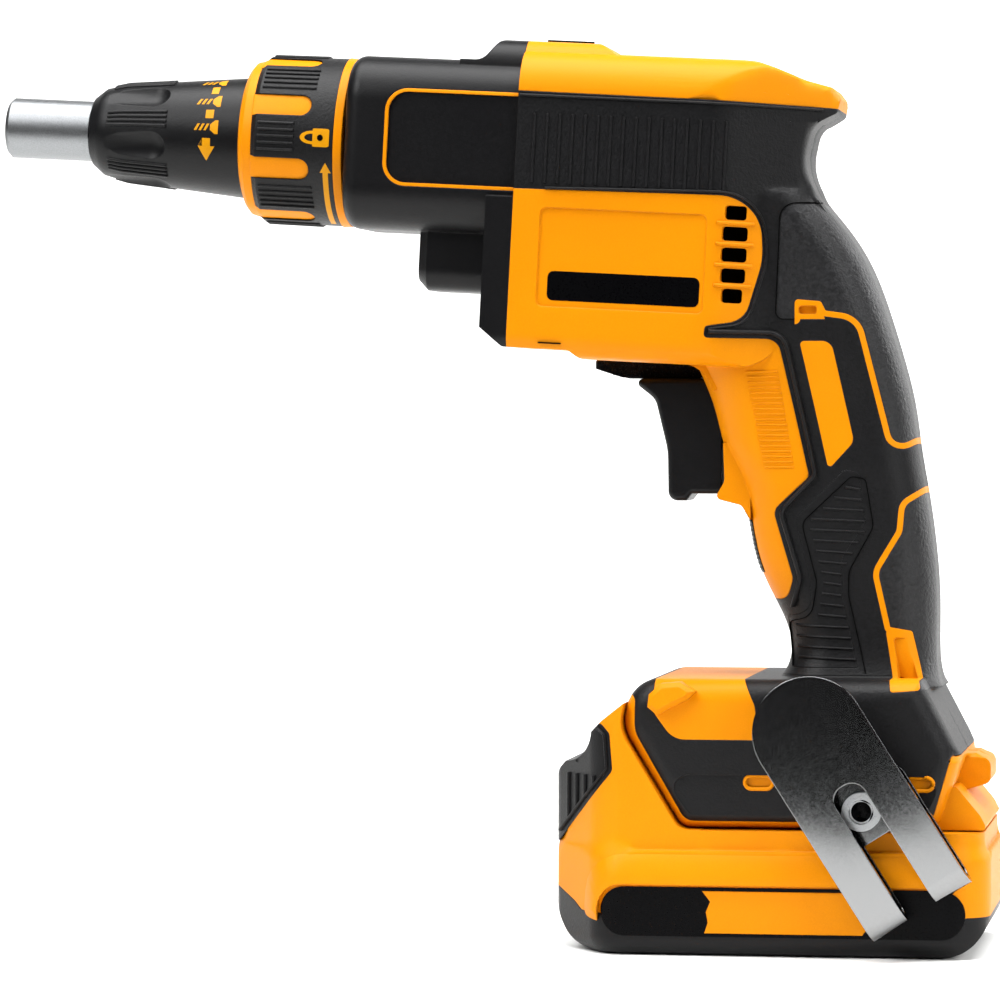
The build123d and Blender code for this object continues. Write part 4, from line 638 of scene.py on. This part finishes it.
# Rounded beads where the overmould stands over the yellow
bead = {"grip": [(-17.6, 159.8, 0), (1.4, 159.5, 5), (9.5, 122.8, 2.5), (0.4, 113.4, 3.5), (5.6, 96.2, 5),
                 (3.8, 89.0, 0)],
        "gripStrip": {"widthMm": 3.0, "heightMm": 0.7, "stepMm": 0.5, "rounded": 1.0},
        "panel": [(-60.0, 197.0, 0), (-3.6, 195.4, 11.5), (-3.0, 178.0, 20), (-8.0, 161.7, 6), (-17.6, 160.4, 0)],
        "top": [(46.4, 13.3), (124.0, 13.2)],
        "thinStrip": {"widthMm": 1.5, "heightMm": 0.4, "stepMm": 0.6, "rounded": 1.0}}
# Seams round the rear pads, laid as flat near-black strips: painted shade in the gap
padSeams = {"upper": [(12.6, 193.1, 0), (0.6, 192.9, 4.2), (-0.8, 163.0, 2.0), (4.2, 163.0, 0)],
            "strip": {"widthMm": 0.8, "heightMm": 0.12, "stepMm": 0.5, "rounded": 0.0}}
slotRings = {"places": (-3.4, 37.6), "z": 44.4, "half": (3.6, 1.7), "corner": 1.69,
             "strip": {"widthMm": 0.9, "heightMm": 0.5, "stepMm": 0.3, "rounded": 0.0}}


def spanAt(corners, z):  # first and last crossing of a closed outline at one height
    hits = []
    for (x1, z1, _), (x2, z2, _) in zip(corners, corners[1:] + corners[:1]):
        if (z1 - z) * (z2 - z) < 0:
            hits.append(x1 + (x2 - x1) * (z - z1) / (z2 - z1))
    return min(hits), max(hits)


for side, hand in bothSides:
    atHead, atSide, skin = onHead(side), onSide(side), "skin_" + hand
    rubber, shell = (blackRubber, "tool", "black_overmould"), (yellowAbs, "tool", "yellow_shell")
    wires = [([atHead(along, sideRibs["low"]), atHead(along, sideRibs["high"])], False)
             for along in spread(sideRibs["first"], sideRibs["last"], sideRibs["count"])]
    surfaceStrips("sideRibs." + hand, skin, wires, sideRibs["strip"], *rubber)
    wires = [([atHead(ventBars["front"], up), atHead(ventBars["rear"], up)], False) for up in ventBars["rises"]]
    surfaceStrips("ventBars." + hand, skin, wires, ventBars["strip"], *shell)
    rows = zip(*[spread(a, b, gripRibs["count"]) for a, b in zip(gripRibs["top"], gripRibs["bottom"])])
    wires = [([atSide(front, z), atSide(rear, z)], False) for z, front, rear in rows]
    surfaceStrips("gripRibs." + hand, skin, wires, gripRibs["strip"], *shell)
    wires = [([onFront(side * frontRibs["seam"], z), onFront(side * frontRibs["half"], z)], False)
             for z in spread(frontRibs["low"], frontRibs["high"], frontRibs["count"])]
    surfaceStrips("frontRibs." + hand, skin, wires, frontRibs["strip"], *rubber)
    inlay = frontRibs["inlay"]
    field = box((side * inlay["seam"], inlay["low"]), (side * inlay["half"], inlay["high"]), inlay["corner"])
    surfacePrint("frontInlay." + hand, [skin], [field], onFront, frontRibs["film"], *rubber)
    # The palm groove is a flat near-black strip: painted shade in the groove
    wires = [([atSide(x, z) for x, z in roundedPath(palm["edge"])], False)]
    surfaceStrips("palmGroove." + hand, skin, wires, palm["groove"], paintedShadeRubber, "tool", "black_overmould")
    wires = []
    for z in spread(palm["low"], palm["high"], palm["count"]):
        front, rear = spanAt(palm["edge"], z)
        front, rear = front + palm["inset"], rear - palm["inset"]
        if rear - front > palm["shortest"]:
            wires.append(([atSide(front, z + palm["fall"]), atSide(rear, z - palm["fall"])], False))
    surfaceStrips("palmDashes." + hand, skin, wires, palm["strip"], *rubber)
    wires = [([atSide(x, z) for x, z in roundedPath(bead["grip"])], False)]
    surfaceStrips("gripBead." + hand, skin, wires, bead["gripStrip"], *rubber)
    wires = [([atSide(x, z) for x, z in roundedPath(bead["panel"])], False)]
    wires += [([atHead(*spot) for spot in bead["top"]], False)]
    surfaceStrips("headBead." + hand, skin, wires, bead["thinStrip"], *rubber)
    # Pad seam: painted shade in the gap, a flat near-black strip
    wires = [([atSide(x, z) for x, z in roundedPath(padSeams["upper"])], False)]
    surfaceStrips("padSeam." + hand, skin, wires, padSeams["strip"], paintedShadeRubber, "tool", "black_overmould")
    wires = []
    for x in slotRings["places"]:
        (across, rise), z = slotRings["half"], slotRings["z"]
        ring = box((x - across, z - rise), (x + across, z + rise), slotRings["corner"])
        wires.append(([atSide(*spot) for spot in ring], True))
    surfaceStrips("slotRings." + hand, skin, wires, slotRings["strip"], *shell)
print("side details placed")

# Plain dark plate in the motor panel's field, and near-black sheets behind the vents: painted shade in the openings
plate = {"low": (56.0, -39.4), "high": (95.6, -31.8), "corner": 1.6, "film": {"proudMm": 0.08, "cuts": 2}}
ventShadeSheet = {"corners": ((97.6, -40.0), (108.4, -40.0), (108.4, -11.8), (97.6, -11.8)), "corner": 3.0,
          "inner": 18.4, "outer": 19.2}
for side, hand in bothSides:
    surfacePrint("plate." + hand, ["housing_" + hand], [box(plate["low"], plate["high"], plate["corner"])], onHead(side),
                 plate["film"], labelAndShadeFilm, "tool", "label_film")
    corners = [headPoint(along, 0, up) / mm for along, up in ventShadeSheet["corners"]]
    solidOutline("ventScreen." + hand, roundedPath([(spot.x, spot.z, ventShadeSheet["corner"]) for spot in corners], True),
                 ventShadeSheet["inner"], ventShadeSheet["outer"], side, paintedShadeRubber, "tool")

# Slots on top of the head and low on its side, laid as flat near-black strips of painted shade, and the soft corner
# where the grip leaves the head
sideSlot = {"front": 54.4, "rear": 60.4, "rise": -50.4}
topSlot = {"front": 50.0, "rear": 62.4, "side": 6.4,
           "strip": {"widthMm": 1.6, "heightMm": 0.1, "stepMm": 0.5, "rounded": 0.0}}
root = {"corners": [(-32.0, 153.4, 0), (-30.5, 152.0, 0), (-19.6, 151.4, 9), (-17.6, 144.4, 0), (-14.0, 146.0, 0),
                    (-14.0, 153.4, 0)], "inner": 9.1, "outer": 14.6}
for side, hand in bothSides:
    atHead, away = onHead(side), side * topSlot["side"]
    wires = [([onTop(topSlot["front"], away), onTop(topSlot["rear"], away)], False),
             ([atHead(sideSlot["front"], sideSlot["rise"]), atHead(sideSlot["rear"], sideSlot["rise"])], False)]
    surfaceStrips("slots." + hand, "skin_" + hand, wires, topSlot["strip"], paintedShadeRubber, "tool", "yellow_shell")
    solidOutline("gripRoot." + hand, roundedPath(root["corners"], True), root["inner"], root["outer"], side,
                 yellowAbs, "tool")
    bpy.data.objects.remove(shown.pop("skin_" + hand))

# Recess in the hook's screw, its floor covered by a dark film of painted shade
recess = {"place": (23.5, 37.8), "radius": 3.1, "sides": 24, "at": (27.6, 37.8), "depthMm": 0.9, "draft": 0.03,
          "film": {"proudMm": 0.05, "cuts": 2}}
disc = oval(recess["place"], (recess["radius"], recess["radius"]), recess["sides"])
cutPockets("belt_hook_screw", [(disc, onSide(-1), recess)])
surfacePrint("screwShade", ["belt_hook_screw"], [disc], onSide(-1), recess["film"], labelAndShadeFilm, "tool", "dark_screw_steel")

# Wiper that closes the gap between the lever and the trigger
wiper = {"corners": [(-45.5, 148.9), (-40.8, 147.84), (-22.0, 147.84), (-22.0, 148.3)], "half": 4.0}
solidOutline("leverWiper", wiper["corners"], -wiper["half"], wiper["half"], 1, blackNylon, "lever")

# Nose: ribs on the depth sleeve's lobes and on the collar's lobes
sleeveRibs = {"lobes": 6, "turn": -15.0, "offsets": (-7.8, -2.6, 2.6, 7.8), "front": -66.0, "rear": -49.6,
              "strip": {"widthMm": 0.95, "heightMm": 0.5, "stepMm": 0.5, "rounded": 1.0}}
wires = []
for lobe in range(sleeveRibs["lobes"]):
    for offset in sleeveRibs["offsets"]:
        angle = sleeveRibs["turn"] + 360 / sleeveRibs["lobes"] * lobe + offset
        wires.append(([onNose(along, angle) for along in spread(sleeveRibs["front"], sleeveRibs["rear"], 5)], False))
surfaceStrips("sleeveRibs", "depth_sleeve", wires, sleeveRibs["strip"], blackNylon, "depth_dial", "black_moulding")
collarRibs = {"lobes": 8, "offsets": (-9.0, -4.5, 0.0, 4.5, 9.0), "front": -23.2, "rear": -8.8, "shortRear": -13.6,
              "strip": {"widthMm": 0.95, "heightMm": 0.4, "stepMm": 0.5, "rounded": 1.0}}
wires = []
for lobe in range(collarRibs["lobes"]):
    rear = collarRibs["shortRear"] if lobe == 0 else collarRibs["rear"]
    for offset in collarRibs["offsets"]:
        angle = 360 / collarRibs["lobes"] * lobe + offset
        wires.append(([onNose(along, angle) for along in spread(collarRibs["front"], rear, 4)], False))
surfaceStrips("collarRibs", "lock_collar_grip", wires, collarRibs["strip"], blackRubber, "collar", "black_overmould")

# Plain pictures on the nose: screws at three depths with a turn arrow, and a padlock with its arrow
film = {"proudMm": 0.06, "cuts": 3}
sleeveMarks = {"angles": (-66.0, -35.0, -7.0), "tip": -41.8, "cap": -35.2, "degreesPerMm": 3.77, "threads": 3, "pitch": 1.3,
               "thread": ((0, 0.9), (0.9, -0.9), (1.6, -0.9), (0.7, 0.9)),
               "head": ((-2.2, 0.7), (-0.9, 1.8), (0, 1.8), (0, -1.8), (-0.9, -1.8), (-2.2, -0.7)),
               "dashes": (((-38.4, -56), (-36.4, -45)), ((-38.9, -25), (-36.7, -16))),
               "arrow": ((-39.4, 4), (-37.2, 4), (-37.2, 12), (-36.0, 12), (-38.3, 27), (-40.6, 12), (-39.4, 12))}
marks = []
for angle in sleeveMarks["angles"]:
    shapes = [(sleeveMarks["tip"] + sleeveMarks["pitch"] * k, sleeveMarks["thread"]) for k in range(sleeveMarks["threads"])]
    shapes.append((sleeveMarks["cap"], sleeveMarks["head"]))
    marks += [[(start + along, angle + across * sleeveMarks["degreesPerMm"]) for along, across in shape]
              for start, shape in shapes]
marks += [[(a, b), (c, b), (c, d), (a, d)] for (a, b), (c, d) in sleeveMarks["dashes"]]
marks.append(sleeveMarks["arrow"])
surfacePrint("sleeveMarks", ["depth_sleeve"], marks, onNose, film, amberInk, "depth_dial", "label_film")
lock = {"rear": -4.0, "joint": -8.4, "half": 6.2, "rearCorner": 1, "jointCorner": 0.5, "arch": 3.4, "archHalf": 4.6,
        "bar": 1.2, "barTurn": 2.0}
rear, joint, half = lock["rear"], lock["joint"], lock["half"]
padlock = roundedPath([(joint, -half, lock["jointCorner"]), (rear, -half, lock["rearCorner"]), (rear, half, lock["rearCorner"]),
                       (joint, half, lock["jointCorner"])], True)
sweepUp = [math.radians(t) for t in range(0, 181, 15)]
shackle = [(joint - lock["arch"] * math.sin(t), lock["archHalf"] * math.cos(t)) for t in sweepUp]
arch, archHalf = lock["arch"] - lock["bar"], lock["archHalf"] - lock["barTurn"]
shackle += [(joint - arch * math.sin(t), archHalf * math.cos(t)) for t in reversed(sweepUp)]
arrow = {"along": -4.9, "half": 0.7, "barb": 1.5, "top": 17.0, "low": 78.0, "head": 7.0, "steps": 12}
along, half, wide, neckTurn = arrow["along"], arrow["half"], arrow["barb"], arrow["top"] + arrow["head"]
turns = spread(neckTurn, arrow["low"], arrow["steps"])
shaft = [(along - half, t) for t in turns] + [(along + half, t) for t in reversed(turns)]
barb = [(along - wide, neckTurn), (along, arrow["top"]), (along + wide, neckTurn)]
surfacePrint("collarMarks", ["lock_collar_grip", "lock_collar"], [padlock, shackle, shaft, barb], onNose, film, amberInk,
             "collar", "label_film")
keyhole = {"place": (-6.4, 0.0), "half": (0.8, 2.2), "sides": 12, "film": {"proudMm": 0.1, "cuts": 1}}
surfacePrint("collarKeyhole", ["lock_collar_grip"], [oval(keyhole["place"], keyhole["half"], keyhole["sides"])], onNose,
             keyhole["film"], labelAndShadeFilm, "collar", "label_film")
print("nose dressed")

# Battery: ribs and rim of the black front, bulging belt, and the yellow field of its side label
frontBars = {"x": (-54.2, -51.5, -48.8, -46.1), "top": 45.6, "low": 33.2, "slope": 1.19,
             "strip": {"widthMm": 1.4, "heightMm": 0.6, "stepMm": 0.4, "rounded": 1.0}}
rim = {"path": [(-57.0, 30.2, 0), (-42.4, 47.4, 2), (-43.0, 56.2, 1.5), (-45.2, 58.0, 0)],
       "strip": {"widthMm": 1.8, "heightMm": 0.4, "stepMm": 0.5, "rounded": 0.0}}
belt = {"outer": [(-49.6, 8.6, 0), (-47.8, 26.3, 11), (50.4, 26.3, 0)],
        "inner": [(-44.9, 8.2, 0), (-44.5, 18.0, 6.4), (50.4, 18.0, 0)],
        "band": {"cuts": 24, "easeMm": 4.0, "sunkMm": 0.3,
                 "section": ((0, 0), (0.08, 0.5), (0.3, 1.2), (0.5, 1.72), (0.66, 2.02), (0.8, 2.15), (0.97, 2.15),
                             (1, 0))}}
labelField = {"front": -17.0, "rear": 24.0, "low": 5.9, "high": 16.7,
              "wave": ((0.0, 0.0), (0.9, 0.25), (0.4, 0.5), (1.5, 0.75), (-0.6, 1.0)), "film": {"proudMm": 0.06, "cuts": 1}}
wires, rims = [], []
for side, hand in bothSides:
    atSide = onSide(side)
    for x in frontBars["x"]:
        low = frontBars["low"] + (x - frontBars["x"][0]) * frontBars["slope"]
        wires.append(([atSide(x, low), atSide(x, frontBars["top"])], False))
    rims.append(([atSide(x, z) for x, z in roundedPath(rim["path"])], False))
    bulgeBand("belt." + hand, ["battery_upper_shell", "battery_lower_shell"],
              [roundedPath(belt[key]) for key in ("outer", "inner")], atSide, belt["band"], yellowAbs, "battery")
    low, high = labelField["low"], labelField["high"]
    edge = [(labelField["front"] + x, low + (high - low) * t) for x, t in labelField["wave"]]
    edge += [(labelField["rear"] + x, high - (high - low) * t) for x, t in labelField["wave"]]
    surfacePrint("labelField." + hand, ["battery_labels"], [edge], atSide, labelField["film"], yellowAbs, "battery",
                 "label_film")
surfaceStrips("frontBars", "battery_bezel", wires, frontBars["strip"], blackNylon, "battery", "black_moulding")
surfaceStrips("bezelRim", "battery_bezel", rims, rim["strip"], blackNylon, "battery", "black_moulding")
# Floor of the black front's finger hollow, on either side of the button
hollowFloor = {"slope": [(-52.1, 48.8), (-43.9, 57.0)], "thick": 2.4, "inner": 13.22, "outer": 25.0}
slope, thick = hollowFloor["slope"], hollowFloor["thick"]
edge = slope + [(x + thick, z - thick) for x, z in reversed(slope)]
for side, hand in bothSides:
    solidOutline("hollowFloor." + hand, edge, hollowFloor["inner"], hollowFloor["outer"], side, blackNylon, "battery")
print("battery dressed")

# Studio: a pale sweep that glows far behind the tool, a large key from the upper left, a softer fill and a lit floor
studio = {"floor": "#F6F6F4", "frontM": -0.36, "bendM": 3.2, "radiusM": 0.8, "topM": 3.0, "halfM": 5, "underM": 0.0002,
          "flatSteps": 8, "bendSteps": 16, "glowFromM": 0.3, "glowFullM": 1.6, "glow": 1.0, "fibreMm": 1.111, "world": 0.03}
sweep = bmesh.new()
bend, radius = studio["bendM"], studio["radiusM"]
front, flatSteps, bendSteps = studio["frontM"], studio["flatSteps"], studio["bendSteps"]
line = [(front + (bend - front) * i / flatSteps, 0.0) for i in range(flatSteps)]
turns = [math.pi / 2 * i / bendSteps for i in range(bendSteps + 1)]
line += [(bend + radius * math.sin(turn), radius * (1 - math.cos(turn))) for turn in turns]
line.append((bend + radius, studio["topM"]))
rows = [[sweep.verts.new((x, y, z - studio["underM"])) for x in (-studio["halfM"], studio["halfM"])] for y, z in line]
for a, b in zip(rows, rows[1:]):
    sweep.faces.new((a[0], a[1], b[1], b[0]))
sweepMesh = bpy.data.meshes.new("sweep")
sweep.to_mesh(sweepMesh)
sweep.free()
sweepMesh.shade_smooth()
paper, paperTree = startMaterial("backdrop paper, matt")
paperPlace = addNode(paperTree, "ShaderNodeTexCoord").outputs["Object"]
paperFibre = addNode(paperTree, "ShaderNodeTexNoise", {"Scale": 1 / (studio["fibreMm"] * mm)}, {"Vector": paperPlace})
paperBump = addNode(paperTree, "ShaderNodeBump", {"Strength": 0.05, "Distance": 0.1 * mm},
                    {"Height": paperFibre.outputs["Fac"]})
paperReach = addNode(paperTree, "ShaderNodeSeparateXYZ", None, {"Vector": paperPlace})
paperGlow = addNode(paperTree, "ShaderNodeMapRange", {"From Min": studio["glowFromM"], "From Max": studio["glowFullM"],
                                                      "To Min": 0.0, "To Max": studio["glow"]},
                    {"Value": paperReach.outputs["Y"]})
paperSkin = addNode(paperTree, "ShaderNodeBsdfPrincipled", {"Base Color": linearColour(studio["floor"]), "Roughness": 0.9,
                                                            "Emission Color": (1, 1, 1, 1)},
                    {"Normal": paperBump.outputs[0], "Emission Strength": paperGlow.outputs[0]})
addNode(paperTree, "ShaderNodeOutputMaterial", None, {"Surface": paperSkin.outputs[0]})
sweepMesh.materials.append(paper)
backdrop = bpy.data.objects.new("backdrop", sweepMesh)
scene.collection.objects.link(backdrop)

world = bpy.data.worlds.new("studio")
scene.world = world
world.use_nodes = True
world.node_tree.nodes["Background"].inputs[0].default_value = (1, 1, 1, 1)
world.node_tree.nodes["Background"].inputs[1].default_value = studio["world"]


lamps = {"key": {"watts": 23.0, "sizeM": (0.8, 0.8), "place": (-0.95, -1.0, 1.1), "aim": (-0.05, 0, 0.12)},
         "fill": {"watts": 12.5, "sizeM": (0.7, 0.9), "place": (1.15, -0.9, 0.75), "aim": (0.0, 0, 0.1)},
         "top": {"watts": 44.0, "sizeM": (1.6, 0.9), "place": (-0.05, -0.1, 1.25), "aim": (-0.05, 0, 0.1)},
         "rim": {"watts": 8.0, "sizeM": (0.6, 0.8), "place": (0.9, 0.7, 0.6), "aim": (0, 0, 0.12)}}
for name, lamp in lamps.items():
    light = bpy.data.lights.new(name, "AREA")
    light.energy, light.shape = lamp["watts"], "RECTANGLE"
    light.size, light.size_y = lamp["sizeM"]
    stand = bpy.data.objects.new(name, light)
    scene.collection.objects.link(stand)
    stand.location = lamp["place"]
    stand.rotation_mode = "QUATERNION"
    stand.rotation_quaternion = (Vector(lamp["aim"]) - Vector(lamp["place"])).to_track_quat("-Z", "Y")

view = {"azimuth": 9.0, "elevation": 1.0, "lens": 180.0, "sensor": 36.0, "distance": 1.322, "target": (-0.0758, 0, 0.1158),
        "nearest": 0.05, "farthest": 30}
camera = bpy.data.objects.new("camera", bpy.data.cameras.new("camera"))
scene.collection.objects.link(camera)
scene.camera = camera
camera.data.lens, camera.data.sensor_width = view["lens"], view["sensor"]
turn, rise = math.radians(view["azimuth"]), math.radians(view["elevation"])
back = Vector((math.sin(turn) * math.cos(rise), -math.cos(turn) * math.cos(rise), math.sin(rise)))
camera.location = Vector(view["target"]) + back * view["distance"]
camera.rotation_mode = "QUATERNION"
camera.rotation_quaternion = (-back).to_track_quat("-Z", "Y")
camera.data.clip_start, camera.data.clip_end = view["nearest"], view["farthest"]
scene.view_settings.view_transform = "Standard"
print("studio ready")
